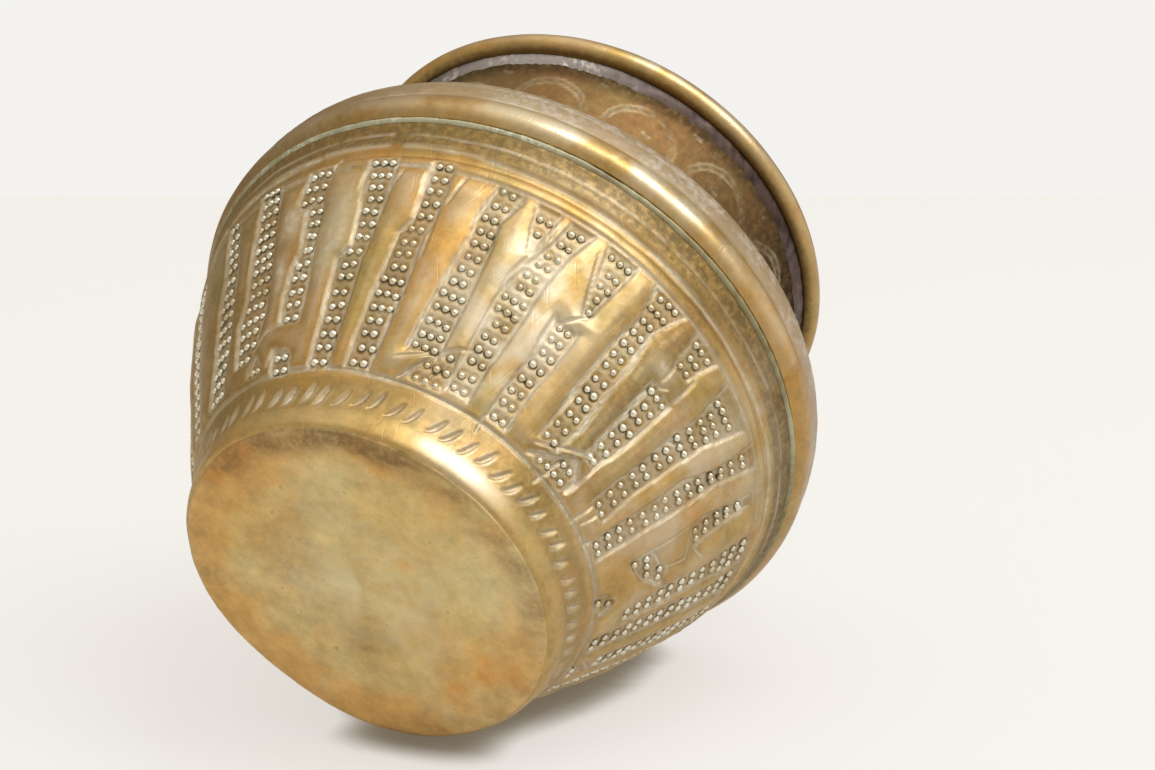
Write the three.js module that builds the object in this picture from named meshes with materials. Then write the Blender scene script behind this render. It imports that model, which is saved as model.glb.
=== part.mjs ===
// Hammered brass pen cup, standing upright: a tapered chased wall on a round base plate, a hollow
// half-round ring over the shoulder joint, and a flared neck that ends in a wired, rolled rim.
// Millimetres, +Z up. The origin is the centre of the base's underside.
import * as THREE from "three";

// Driving dimensions.
const HEIGHT = 97.5;
const SHOULDER_RADIUS = 55;
const RIM_RADIUS = 44.4;
const BASE_RADIUS = 31;
const THROAT_RADIUS = 37.4;
const SHEET = 1.2; // wall and neck sheet
const RING_SHEET = 1; // the shoulder ring is raised from thinner sheet
const PLATE = 1.7; // base plate thickness
const GAP = 0.2; // left between pieces that meet
const SEGMENTS = 64; // facets round the axis

// Heights of the wall's lines and mouldings.
const FOOT_HEIGHT = PLATE + GAP;
const LOWER_BORDER_HEIGHT = 10.5;
const UPPER_BORDER_HEIGHT = 42;
const STEP_HEIGHT = 44.4;
const SEAM_HEIGHT = 51.2; // where the ring's lower edge meets the wall
const WALL_TOP = 60.4;
const RING_TOP = 65.2;
const THROAT_HEIGHT = 77;

// Radii of the wall's outer face at those heights.
const FOOT_RADIUS = BASE_RADIUS - 0.3;
const LOWER_BORDER_RADIUS = 34.2;
const UPPER_BORDER_RADIUS = 50.1;
const STEP_RADIUS = 50.7;
const SEAM_RADIUS = 53.1;
const LAP_RADIUS = 52; // the wall's straight lap behind the ring
const BEAD_RISE = 0.8; // the small bead above the upper border

// The rolled rim and the wire that it is rolled round.
const ROLL_RADIUS = 1.9;
const ROLL_SHEET = 0.7;
const WIRE_RADIUS = ROLL_RADIUS - ROLL_SHEET - GAP;
const ROLL_CENTRE = new THREE.Vector2(RIM_RADIUS - ROLL_RADIUS, HEIGHT - ROLL_RADIUS);
const SLOT_MIDDLE = THREE.MathUtils.degToRad(-115); // the slot that the neck's edge stands in
const SLOT_HALF = THREE.MathUtils.degToRad(38);

const brass = new THREE.MeshStandardMaterial({ color: 0xb58f4f, roughness: 0.38, metalness: 1 });
const copperyBrass = new THREE.MeshStandardMaterial({ color: 0xb98b4c, roughness: 0.5, metalness: 1 });
const brightBrass = new THREE.MeshStandardMaterial({ color: 0xc39a58, roughness: 0.3, metalness: 1 });
const greySolder = new THREE.MeshStandardMaterial({ color: 0x77706c, roughness: 0.65, metalness: 0.8 });
const greenedSolder = new THREE.MeshStandardMaterial({ color: 0x93998a, roughness: 0.7, metalness: 0.5 });

const at = (radius, height) => new THREE.Vector2(radius, height);

const cup = new THREE.Group();

/** Adds the solid that a closed outline (radius, height) sweeps round the axis. */
function addTurned(name, outline, material) {
  const closed = outline[0].x === 0 ? outline : [...outline, outline[0]];
  const geometry = new THREE.LatheGeometry(closed, SEGMENTS);
  geometry.rotateX(Math.PI / 2);
  const mesh = new THREE.Mesh(geometry, material);
  mesh.name = name;
  cup.add(mesh);
}

/** The closed outline of a sheet of this thickness whose outer face runs up along the points given. */
function sheetOutline(outerFace, thickness) {
  const innerFace = outerFace.map((point, i) => {
    const before = outerFace[Math.max(i - 1, 0)];
    const after = outerFace[Math.min(i + 1, outerFace.length - 1)];
    const along = after.clone().sub(before).normalize();
    return at(point.x - along.y * thickness, point.y + along.x * thickness);
  });
  return [...outerFace, ...innerFace.reverse()];
}

/** Points on an arc round a centre, from one angle to another, both in radians. */
function arc(centre, radius, from, to, steps) {
  return Array.from({ length: steps + 1 }, (_, i) => {
    const angle = from + ((to - from) * i) / steps;
    return at(centre.x + radius * Math.cos(angle), centre.y + radius * Math.sin(angle));
  });
}

/** The base plate: a flat disc whose lower edge is rounded over. */
function basePlate() {
  const roundCentre = at(BASE_RADIUS - PLATE, PLATE);
  const underEdge = arc(roundCentre, PLATE, -Math.PI / 2, 0, 4);
  return [at(0, 0), ...underEdge, at(0, PLATE)];
}

/** The brazing metal in the inner corner between the plate and the wall. */
function baseBraze() {
  const cornerRadius = FOOT_RADIUS - SHEET - 2 * GAP;
  return [at(cornerRadius - 2.6, FOOT_HEIGHT), at(cornerRadius, FOOT_HEIGHT), at(cornerRadius + 0.8, FOOT_HEIGHT + 2.6)];
}

/** The wall: foot, chased field, small bead, plain band, and the straight lap behind the ring. */
function bodyWall() {
  const field = new THREE.QuadraticBezierCurve(
    at(LOWER_BORDER_RADIUS, LOWER_BORDER_HEIGHT),
    at(43.2, 25.2),
    at(UPPER_BORDER_RADIUS, UPPER_BORDER_HEIGHT),
  ).getPoints(4);
  const outerFace = [
    at(FOOT_RADIUS, FOOT_HEIGHT),
    at(32.2, 5.6),
    ...field,
    at(UPPER_BORDER_RADIUS + BEAD_RISE, (UPPER_BORDER_HEIGHT + STEP_HEIGHT) / 2),
    at(STEP_RADIUS, STEP_HEIGHT),
    at(52.2, 48),
    at(SEAM_RADIUS, SEAM_HEIGHT - 0.4),
    at(LAP_RADIUS, SEAM_HEIGHT + 0.3),
    at(LAP_RADIUS, WALL_TOP),
  ];
  const innerFace = [
    at(LAP_RADIUS - SHEET, WALL_TOP),
    at(LAP_RADIUS - SHEET, SEAM_HEIGHT - 1),
    at(STEP_RADIUS - 0.9, STEP_HEIGHT),
    ...field.slice(1).reverse().map((point) => at(point.x - SHEET * 1.12, point.y + 0.55)),
    at(LOWER_BORDER_RADIUS - SHEET, LOWER_BORDER_HEIGHT + 0.5),
    at(FOOT_RADIUS - SHEET, FOOT_HEIGHT),
  ];
  return [...outerFace, ...innerFace];
}

/** The hollow half-round ring that covers the shoulder joint. */
function shoulderRing() {
  const outerFace = new THREE.SplineCurve([
    at(SEAM_RADIUS + 0.3, SEAM_HEIGHT + 0.8),
    at(SHOULDER_RADIUS - 0.5, SEAM_HEIGHT + 3.3),
    at(SHOULDER_RADIUS, SEAM_HEIGHT + 7),
    at(SHOULDER_RADIUS - 0.9, RING_TOP - 3.6),
    at(SHOULDER_RADIUS - 3.2, RING_TOP - 0.9),
    at(SHOULDER_RADIUS - 6.6, RING_TOP),
  ]).getPoints(8);
  return sheetOutline(outerFace, RING_SHEET);
}

/** The line of solder along the ring's lower edge, greened by the damp that it holds. */
function ringSeam() {
  const foot = SEAM_HEIGHT + 0.1;
  return [at(SEAM_RADIUS - 0.5, foot), at(SEAM_RADIUS + 0.35, foot), at(SEAM_RADIUS + 0.1, foot + 0.55), at(SEAM_RADIUS - 0.5, foot + 0.55)];
}

/** The solder fillet inside, where the neck's flange sits on the wall's top edge. */
function shoulderSolder() {
  const face = LAP_RADIUS - SHEET - GAP;
  return [at(face - 0.8, WALL_TOP - 3.4), at(face, WALL_TOP - 3.6), at(face, WALL_TOP), at(face - 3, WALL_TOP + 0.6)];
}

/** The neck: a sloping flange on the wall, drawn in to the throat and flared to the rim. */
function neckCollar() {
  const outerFace = new THREE.SplineCurve([
    at(LAP_RADIUS - 0.4, WALL_TOP + 2.1),
    at(46.2, 64.9),
    at(40.6, 68.8),
    at(THROAT_RADIUS, THROAT_HEIGHT),
    at(38.7, 86),
    at(ROLL_CENTRE.x - 0.1, ROLL_CENTRE.y - 1.55),
  ]).getPoints(9);
  return sheetOutline(outerFace, SHEET);
}

/** The solder under the rolled rim, on the neck's outer face. */
function rimSolder() {
  const { x, y } = ROLL_CENTRE;
  return [at(x - 0.75, y - 4.7), at(x + 0.35, y - 3.5), at(x + 1.05, y - 2.15), at(x + 0.35, y - 2.15)];
}

/** The rolled rim: a C section, open where the neck's edge stands in it. */
function rimRing() {
  const from = SLOT_MIDDLE + SLOT_HALF;
  const to = SLOT_MIDDLE - SLOT_HALF + 2 * Math.PI;
  const outside = arc(ROLL_CENTRE, ROLL_RADIUS, from, to, 9);
  const inside = arc(ROLL_CENTRE, ROLL_RADIUS - ROLL_SHEET, to, from, 5);
  return [...outside, ...inside];
}

/** The wire inside the rolled rim. */
function rimWire() {
  return arc(ROLL_CENTRE, WIRE_RADIUS, 0, 2 * Math.PI, 6).slice(0, -1);
}

addTurned("base_plate", basePlate(), copperyBrass);
addTurned("base_braze", baseBraze(), brightBrass);
addTurned("body_wall", bodyWall(), brass);
addTurned("shoulder_ring", shoulderRing(), brightBrass);
addTurned("ring_seam", ringSeam(), greenedSolder);
addTurned("shoulder_solder", shoulderSolder(), greySolder);
addTurned("neck_collar", neckCollar(), brass);
addTurned("rim_solder", rimSolder(), greySolder);
addTurned("rim_ring", rimRing(), brightBrass);
addTurned("rim_wire", rimWire(), brass);

export default cup;
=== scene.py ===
"""Pen cup of hammered brass: the finished looks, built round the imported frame.

Lengths are millimetres until a mesh is made. A turn is an angle in degrees round the cup's axis,
counted from +X towards +Y.
"""

from __future__ import annotations

import logging
import math
import random
from dataclasses import dataclass, field
from enum import Enum
from typing import Sequence

import bpy
import numpy as np
from mathutils import Matrix, Vector

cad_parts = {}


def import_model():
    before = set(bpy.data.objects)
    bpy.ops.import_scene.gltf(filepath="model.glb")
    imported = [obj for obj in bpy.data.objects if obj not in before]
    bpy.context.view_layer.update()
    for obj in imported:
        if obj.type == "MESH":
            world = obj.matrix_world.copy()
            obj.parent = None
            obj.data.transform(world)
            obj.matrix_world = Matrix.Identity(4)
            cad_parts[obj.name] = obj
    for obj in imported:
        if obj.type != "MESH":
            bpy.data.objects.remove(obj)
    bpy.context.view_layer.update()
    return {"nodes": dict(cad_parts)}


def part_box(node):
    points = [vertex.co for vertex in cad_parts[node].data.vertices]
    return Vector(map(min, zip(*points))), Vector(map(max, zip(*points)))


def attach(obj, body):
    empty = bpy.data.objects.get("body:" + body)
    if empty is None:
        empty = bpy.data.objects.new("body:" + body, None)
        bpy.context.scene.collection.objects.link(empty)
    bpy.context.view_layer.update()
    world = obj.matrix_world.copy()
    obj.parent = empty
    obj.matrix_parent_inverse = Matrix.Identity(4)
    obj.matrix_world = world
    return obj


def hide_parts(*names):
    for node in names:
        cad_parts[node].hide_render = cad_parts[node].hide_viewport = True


LOG = logging.getLogger("pen_cup")
MM = 0.001
BODY = "root"

Stop = tuple[float, float]
Colour = tuple[float, float, float]


# ---------------------------------------------------------------- outlines and sweeps


def smoothstep(low: float, high: float, value: np.ndarray) -> np.ndarray:
    """Returns 0 below low, 1 above high, and an S curve between them."""
    t = np.clip((value - low) / (high - low), 0.0, 1.0)
    return t * t * (3.0 - 2.0 * t)


def bell(value: np.ndarray, centre: float, width: float) -> np.ndarray:
    """Returns a bell curve that is 1 at its centre."""
    return np.exp(-(((value - centre) / width) ** 2))


def turn_gap(turns: np.ndarray, centre: float) -> np.ndarray:
    """Returns the signed angle in degrees from a centre turn, between -180 and 180."""
    return (turns - centre + 180.0) % 360.0 - 180.0


def smooth_run(stops: Sequence[Stop], spacing: float) -> np.ndarray:
    """Walks a smooth curve through the stops.

    Args:
        stops: (radius, height) points that the curve passes through.
        spacing: distance between the points returned.

    Returns:
        An array of points, one row each.
    """
    knots = np.array(stops, float)
    padded = np.vstack([2 * knots[0] - knots[1], knots, 2 * knots[-1] - knots[-2]])
    t = np.linspace(0.0, 1.0, 24, endpoint=False)[:, None]
    pieces = []
    for before, start, end, after in zip(padded, padded[1:], padded[2:], padded[3:]):
        span = np.linalg.norm(end - start)
        leave = (end - before) * span / (span + np.linalg.norm(start - before))
        arrive = (after - start) * span / (span + np.linalg.norm(after - end))
        pieces.append(
            (2 * t**3 - 3 * t**2 + 1) * start
            + (t**3 - 2 * t**2 + t) * leave
            + (3 * t**2 - 2 * t**3) * end
            + (t**3 - t**2) * arrive
        )
    curve = np.vstack(pieces + [knots[-1:]])
    return evenly(curve, spacing)


def evenly(curve: np.ndarray, spacing: float) -> np.ndarray:
    """Returns points at even distances along a polyline, its two ends among them."""
    travel = np.concatenate([[0.0], np.cumsum(np.linalg.norm(np.diff(curve, axis=0), axis=1))])
    count = max(2, round(travel[-1] / spacing) + 1)
    at = np.linspace(0.0, travel[-1], count)
    return np.column_stack([np.interp(at, travel, curve[:, 0]), np.interp(at, travel, curve[:, 1])])


def face_normals(points: np.ndarray) -> np.ndarray:
    """Returns the unit normals of a face walked upwards with the metal on its axis side."""
    along = np.gradient(points, axis=0)
    along /= np.linalg.norm(along, axis=1, keepdims=True)
    return np.column_stack([along[:, 1], -along[:, 0]])


@dataclass(frozen=True)
class HandWobble:
    """How far the hand-raised cup strays from true: every visible piece is bent by the same rule."""

    flat_turn: float = 246.0
    flat_width: float = 31.0
    flat_depth: float = 2.0
    flat_height: float = 16.0
    foot_slide: Stop = (-0.5, 0.3)
    sway: Stop = (-0.14, 0.315)
    oval: float = 0.12
    axis_clearance: float = 24.0
    sway_height: float = 95.0

    def bend(self, points: np.ndarray) -> np.ndarray:
        """Returns the points moved by the cup's flattened foot and slight sway."""
        x, y, z = points[..., 0], points[..., 1], points[..., 2]
        radius = np.hypot(x, y)
        turns = np.degrees(np.arctan2(y, x))
        near_foot = 1.0 - smoothstep(2.0, self.flat_height, z)
        off_axis = smoothstep(0.0, self.axis_clearance, radius)
        flat = self.flat_depth * bell(turn_gap(turns, self.flat_turn), 0.0, self.flat_width) * near_foot
        oval = self.oval * np.cos(np.radians(2.0 * turns + 40.0)) * smoothstep(0.0, 60.0, z)
        change = 1.0 + (oval - flat) * off_axis / np.maximum(radius, 1.0)
        leaning = np.sin(np.clip(z, 0.0, self.sway_height) / self.sway_height * math.pi)
        sliding = near_foot * off_axis
        moved_x = x * change + self.sway[0] * leaning + self.foot_slide[0] * sliding
        moved_y = y * change + self.sway[1] * leaning + self.foot_slide[1] * sliding
        return np.stack([moved_x, moved_y, z], axis=-1)


WOBBLE = HandWobble()


def make_piece(
    name: str,
    points: np.ndarray,
    faces: Sequence[np.ndarray],
    marks: dict[str, np.ndarray] | None = None,
) -> bpy.types.Object:
    """Makes one smooth mesh object from points in millimetres.

    Args:
        name: the object's name.
        points: one row for each vertex.
        faces: arrays of vertex indices, each with as many columns as its faces have corners.
        marks: surface marks from 0 to 1, one value for each vertex, by name.

    Returns:
        The new object, linked to the scene.
    """
    mesh = bpy.data.meshes.new(name)
    mesh.vertices.add(len(points))
    mesh.vertices.foreach_set("co", (WOBBLE.bend(points) * MM).astype(np.float32).ravel())
    corners = np.concatenate([group.ravel() for group in faces]).astype(np.int32)
    sizes = np.concatenate([np.full(len(group), group.shape[1]) for group in faces])
    starts = np.concatenate([[0], np.cumsum(sizes)[:-1]]).astype(np.int32)
    mesh.loops.add(len(corners))
    mesh.loops.foreach_set("vertex_index", corners)
    mesh.polygons.add(len(sizes))
    mesh.polygons.foreach_set("loop_start", starts)
    mesh.update(calc_edges=True)
    mesh.validate()
    mesh.shade_smooth()
    for mark, values in (marks or {}).items():
        layer = mesh.attributes.new(mark, "FLOAT", "POINT")
        layer.data.foreach_set("value", values.astype(np.float32).ravel())
    piece = bpy.data.objects.new(name, mesh)
    bpy.context.scene.collection.objects.link(piece)
    return piece


def grid_faces(rows: int, columns: int, closed: bool) -> np.ndarray:
    """Returns the quads of a grid that joins round the axis, and top to bottom where closed."""
    row = np.arange(rows if closed else rows - 1)[:, None]
    column = np.arange(columns)[None, :]
    above, beside = (row + 1) % rows, (column + 1) % columns
    start, start_above = row * columns, above * columns
    corners = [start + column, start + beside, start_above + beside, start_above + column]
    filled = [np.broadcast_to(corner, (row.shape[0], columns)) for corner in corners]
    return np.stack(filled, axis=-1).reshape(-1, 4)


def sweep(outline: np.ndarray, rise: np.ndarray, columns: int) -> np.ndarray:
    """Sweeps an outline round the axis.

    Args:
        outline: (radius, height) points, outer face first.
        rise: how far each point stands out along its normal, one row for each outline point.
        columns: the number of steps round the axis.

    Returns:
        Points in an array of rows by columns by 3.
    """
    normals = face_normals(np.vstack([outline[-1:], outline, outline[:1]]))[1:-1]
    turns = np.arange(columns) / columns * 2.0 * math.pi
    radius = outline[:, :1] + normals[:, :1] * rise
    height = outline[:, 1:] + normals[:, 1:] * rise
    level = np.broadcast_to(height, radius.shape)
    return np.stack([radius * np.cos(turns), radius * np.sin(turns), level], axis=-1)


class SoftNoise:
    """Smooth seeded unevenness round a turned face, made of a few waves."""

    def __init__(self, seed: int, waves: int, finest: float) -> None:
        """Draws the waves: the finest is this many millimetres long."""
        hand = random.Random(seed)
        self.waves = []
        for _ in range(waves):
            length = finest * (1.0 + 3.0 * hand.random())
            heading = hand.uniform(0.0, 2.0 * math.pi)
            pitch = 2.0 * math.pi / length
            self.waves.append((pitch * math.cos(heading), pitch * math.sin(heading), hand.uniform(0.0, 6.3)))

    def at(self, points: np.ndarray) -> np.ndarray:
        """Returns the unevenness at points in space, about -1 to 1."""
        total = np.zeros(points.shape[:-1])
        for across, along, phase in self.waves:
            flat = across * points[..., 0] + along * points[..., 1]
            total += np.sin(flat + phase + 0.7 * np.sin(along * points[..., 2] + phase)) * np.cos(
                across * points[..., 2] - 0.6 * flat + 2.0 * phase
            )
        return total / math.sqrt(len(self.waves))


# ---------------------------------------------------------------- finishes


class NodeBook:
    """Places and links nodes in one shader tree."""

    def __init__(self, tree: bpy.types.NodeTree) -> None:
        """Keeps the tree that the nodes go in."""
        self.tree = tree

    def put(self, kind: str, inputs: dict | None = None, **settings: object) -> bpy.types.Node:
        """Adds a node, sets its options, and sets or links its inputs."""
        node = self.tree.nodes.new(kind)
        for key, value in settings.items():
            setattr(node, key, value)
        for key, value in (inputs or {}).items():
            self.feed(node.inputs[key], value)
        return node

    def feed(self, socket: bpy.types.NodeSocket, value: object) -> None:
        """Links a socket to an output, or gives it a plain value."""
        if isinstance(value, bpy.types.NodeSocket):
            self.tree.links.new(value, socket)
        elif isinstance(value, tuple) and len(value) == 3 and socket.type == "RGBA":
            socket.default_value = (*value, 1.0)
        else:
            socket.default_value = value

    def sum(
        self, operation: str, first: object, second: object = 0.0, clamp: bool = False
    ) -> bpy.types.NodeSocket:
        """Returns the result of one sum on two values."""
        node = self.put("ShaderNodeMath", {0: first, 1: second}, operation=operation, use_clamp=clamp)
        return node.outputs[0]

    def scaled(self, value: object, factor: float, shift: float) -> bpy.types.NodeSocket:
        """Returns a value times a factor, plus a shift."""
        node = self.put("ShaderNodeMath", {0: value, 1: factor, 2: shift}, operation="MULTIPLY_ADD")
        return node.outputs[0]

    def along(self, place: object, way: Vector) -> bpy.types.NodeSocket:
        """Returns how far a place or heading lies along a direction."""
        node = self.put("ShaderNodeVectorMath", {0: place, 1: tuple(way)}, operation="DOT_PRODUCT")
        return node.outputs["Value"]

    def spread(self, value: object, low: float, high: float) -> bpy.types.NodeSocket:
        """Returns a value spread from the range low to high over 0 to 1, with soft ends."""
        node = self.put("ShaderNodeMapRange", interpolation_type="SMOOTHSTEP")
        for key, item in (("Value", value), ("From Min", low), ("From Max", high)):
            self.feed(node.inputs[key], item)
        return node.outputs["Result"]

    def mix(self, share: object, first: object, second: object, blend: str = "MIX") -> bpy.types.NodeSocket:
        """Returns two colours mixed by a share from 0 to 1."""
        node = self.put("ShaderNodeMix", data_type="RGBA", blend_type=blend)
        for key, item in ((0, share), (6, first), (7, second)):
            self.feed(node.inputs[key], item)
        return node.outputs[2]

    def noise(
        self, vector: object, scale: object, detail: float = 3.0, roughness: float = 0.55
    ) -> bpy.types.NodeSocket:
        """Returns a noise value about 0.5."""
        inputs = {"Vector": vector, "Scale": scale, "Detail": detail, "Roughness": roughness}
        return self.put("ShaderNodeTexNoise", inputs).outputs["Fac"]

    def place(self, stretch: Colour, turn: Colour = (0.0, 0.0, 0.0)) -> bpy.types.NodeSocket:
        """Returns the place on the object, stretched and turned."""
        where = self.put("ShaderNodeTexCoord").outputs["Object"]
        node = self.put("ShaderNodeMapping", {"Vector": where, "Scale": stretch, "Rotation": turn})
        return node.outputs["Vector"]

    def mark(self, name: str) -> bpy.types.NodeSocket:
        """Returns one of the mesh's own marks."""
        return self.put("ShaderNodeAttribute", attribute_name=name).outputs["Fac"]


class Port(Enum):
    """The kinds of socket that an effect takes or gives."""

    COLOUR = "NodeSocketColor"
    NUMBER = "NodeSocketFloat"


class Effect:
    """A shader node group that several finishes share."""

    def __init__(self, name: str, takes: dict[str, Port], gives: dict[str, Port]) -> None:
        """Makes the empty group with its named sockets."""
        self.tree = bpy.data.node_groups.new(name, "ShaderNodeTree")
        for key, port in takes.items():
            self.tree.interface.new_socket(key, in_out="INPUT", socket_type=port.value)
        for key, port in gives.items():
            self.tree.interface.new_socket(key, in_out="OUTPUT", socket_type=port.value)
        self.book = NodeBook(self.tree)
        self.inside = self.book.put("NodeGroupInput").outputs
        self.outside = self.book.put("NodeGroupOutput").inputs

    def give(self, key: str, value: bpy.types.NodeSocket) -> None:
        """Links one result to the group's output."""
        self.book.feed(self.outside[key], value)

    def placed(self, book: NodeBook, inputs: dict) -> bpy.types.NodeOutputs:
        """Places the group in a material and returns its outputs."""
        node = book.put("ShaderNodeGroup", node_tree=self.tree)
        for key, value in inputs.items():
            book.feed(node.inputs[key], value)
        return node.outputs


def mottle_effect() -> Effect:
    """Returns the clouded patina of old brass: a main tone with warm and olive clouds and dark specks."""
    takes = {key: Port.COLOUR for key in ("Main", "Warm", "Olive", "Dark")}
    takes |= {"Warm Share": Port.NUMBER, "Olive Share": Port.NUMBER, "Scale": Port.NUMBER}
    effect = Effect("patina_clouds", takes, {"Colour": Port.COLOUR})
    book, given = effect.book, effect.inside
    where = book.place((1.0, 1.0, 1.0))
    shifted = book.place((1.0, 1.0, 1.3), (0.6, 1.1, 0.3))
    warm_cloud = book.spread(book.noise(where, given["Scale"], 5.0, 0.62), 0.46, 0.66)
    olive_scale = book.sum("MULTIPLY", given["Scale"], 0.7)
    olive_cloud = book.spread(book.noise(shifted, olive_scale, 4.0, 0.6), 0.45, 0.68)
    fine_scale = book.sum("MULTIPLY", given["Scale"], 9.0)
    fine = book.noise(shifted, fine_scale, 4.0, 0.7)
    flooded = book.sum("MULTIPLY", book.spread(given["Warm Share"], 0.5, 1.0), 0.5)
    clouded = book.sum("MULTIPLY", warm_cloud, given["Warm Share"])
    warm = book.mix(book.sum("MAXIMUM", clouded, flooded), given["Main"], given["Warm"])
    olive = book.mix(book.sum("MULTIPLY", olive_cloud, given["Olive Share"]), warm, given["Olive"])
    specks = book.spread(fine, 0.60, 0.76)
    speckled = book.mix(book.sum("MULTIPLY", specks, 0.55), olive, given["Dark"])
    blotch = book.noise(where, book.sum("MULTIPLY", given["Scale"], 3.2), 3.0, 0.6)
    lift = book.scaled(book.sum("ADD", fine, blotch), 0.62, 0.38)
    grey = book.put("ShaderNodeCombineColor", {0: lift, 1: lift, 2: lift}).outputs[0]
    effect.give("Colour", book.mix(1.0, speckled, grey, "MULTIPLY"))
    return effect


def age_effect() -> Effect:
    """Returns the work of age and painted light: grime and painted shade where marked, residue in the lines,
    worn high spots and painted highlights.
    """
    takes = {key: Port.COLOUR for key in ("Colour", "Grime And Shade Tone", "Residue", "Polish And Highlight Tone")}
    takes |= {key: Port.NUMBER for key in ("Grime And Shade", "Line", "Wear And Highlight", "Roughness")}
    gives = {"Colour": Port.COLOUR, "Roughness": Port.NUMBER, "Metallic": Port.NUMBER}
    effect = Effect("age_wear_and_painted_light", takes, gives)
    book, given = effect.book, effect.inside
    where = book.place((1.0, 1.0, 1.0))
    patchy = book.spread(book.noise(where, 900.0, 3.0, 0.6), 0.30, 0.62)
    slow = book.spread(book.noise(where, 110.0, 3.0, 0.6), 0.32, 0.62)
    grime_and_shade = book.sum("MULTIPLY", given["Grime And Shade"], book.scaled(patchy, 0.35, 0.62))
    grimed_and_shaded = book.mix(grime_and_shade, given["Colour"], given["Grime And Shade Tone"])
    hold = book.sum("MAXIMUM", book.sum("MULTIPLY", patchy, slow), 0.45)
    residue = book.sum("MULTIPLY", given["Line"], hold, True)
    lined = book.mix(residue, grimed_and_shaded, given["Residue"])
    polish_and_highlight_share = book.sum("MULTIPLY", given["Wear And Highlight"], slow)
    effect.give("Colour", book.mix(polish_and_highlight_share, lined, given["Polish And Highlight Tone"]))
    dulled = book.sum("ADD", given["Roughness"], book.sum("MULTIPLY", grime_and_shade, 0.16))
    polished = book.sum("SUBTRACT", dulled, book.sum("MULTIPLY", polish_and_highlight_share, 0.10))
    effect.give("Roughness", book.sum("ADD", polished, book.sum("MULTIPLY", patchy, 0.06), True))
    effect.give("Metallic", book.sum("SUBTRACT", 1.0, book.sum("MULTIPLY", residue, 0.6), True))
    return effect


def skin_effect() -> Effect:
    """Returns the fine height of hand-worked metal: turned streaks, stray scratches, grain and pits."""
    takes = {key: Port.NUMBER for key in ("Streaks", "Scratches", "Grain", "Pits")}
    effect = Effect("metal_skin", takes, {"Height": Port.NUMBER})
    book, given = effect.book, effect.inside
    round_axis = book.noise(book.place((40.0, 40.0, 2600.0)), 1.0, 4.0, 0.6)
    slanted = book.noise(book.place((2400.0, 60.0, 60.0), (0.2, 0.3, 0.6)), 1.0, 2.0, 0.5)
    crossed = book.noise(book.place((70.0, 2100.0, 70.0), (0.4, -0.2, -0.5)), 1.0, 2.0, 0.5)
    stray = book.sum("ADD", book.spread(slanted, 0.62, 0.70), book.spread(crossed, 0.64, 0.71))
    where = book.place((1.0, 1.0, 1.0))
    grain = book.noise(where, 1500.0, 5.0, 0.65)
    pits = book.spread(book.noise(where, 620.0, 2.0, 0.5), 0.66, 0.76)
    height = book.sum("MULTIPLY", round_axis, given["Streaks"])
    height = book.sum("SUBTRACT", height, book.sum("MULTIPLY", stray, given["Scratches"]))
    height = book.sum("ADD", height, book.sum("MULTIPLY", grain, given["Grain"]))
    effect.give("Height", book.sum("SUBTRACT", height, book.sum("MULTIPLY", pits, given["Pits"])))
    return effect


class Effects:
    """The shared effects, each built once."""

    def __init__(self) -> None:
        """Builds the groups."""
        self.mottle = mottle_effect()
        self.age = age_effect()
        self.skin = skin_effect()


@dataclass(frozen=True)
class MetalFinish:
    """One patinated metal: its tones in linear colour, its polish, and how deep its skin is."""

    name: str
    main: Colour
    warm: Colour
    olive: Colour
    dark: Colour
    # The grime tone also paints shade, and the polish tone also paints highlights, where the marks ask for
    # them.
    grime_and_shade: Colour = (0.20, 0.135, 0.05)
    residue: Colour = (0.56, 0.55, 0.42)
    polish_and_highlight: Colour = (0.74, 0.60, 0.37)
    warm_share: float = 0.5
    olive_share: float = 0.4
    cloud_scale: float = 95.0
    roughness: float = 0.34
    streaks: float = 0.3
    scratches: float = 0.3
    grain: float = 0.3
    pits: float = 0.3
    depth: float = 0.03
    coat: float = 0.3

    def material(self, effects: Effects) -> bpy.types.Material:
        """Returns the finish as a material."""
        material = bpy.data.materials.new(self.name)
        material.use_nodes = True
        material.diffuse_color = (*self.main, 1.0)
        tree = material.node_tree
        tree.nodes.clear()
        book = NodeBook(tree)
        clouds = effects.mottle.placed(
            book,
            {
                "Main": self.main,
                "Warm": self.warm,
                "Olive": self.olive,
                "Dark": self.dark,
                "Warm Share": book.sum("ADD", self.warm_share, book.mark("warm"), True),
                "Olive Share": self.olive_share,
                "Scale": self.cloud_scale,
            },
        )
        aged = effects.age.placed(
            book,
            {
                "Colour": clouds["Colour"],
                "Grime And Shade Tone": self.grime_and_shade,
                "Residue": self.residue,
                "Polish And Highlight Tone": self.polish_and_highlight,
                "Grime And Shade": book.mark("sunk"),
                "Line": book.mark("line"),
                "Wear And Highlight": book.mark("proud"),
                "Roughness": self.roughness,
            },
        )
        skin = effects.skin.placed(
            book,
            {"Streaks": self.streaks, "Scratches": self.scratches, "Grain": self.grain, "Pits": self.pits},
        )
        skin_height = {"Strength": 1.0, "Distance": self.depth * MM, "Height": skin["Height"]}
        bump = book.put("ShaderNodeBump", skin_height)
        shader = book.put(
            "ShaderNodeBsdfPrincipled",
            {
                "Base Color": aged["Colour"],
                "Roughness": aged["Roughness"],
                "Metallic": aged["Metallic"],
                "Coat Weight": self.coat,
                "Coat Roughness": 0.3,
                "Normal": bump.outputs["Normal"],
            },
        )
        book.put("ShaderNodeOutputMaterial", {"Surface": shader.outputs[0]})
        return material


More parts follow.
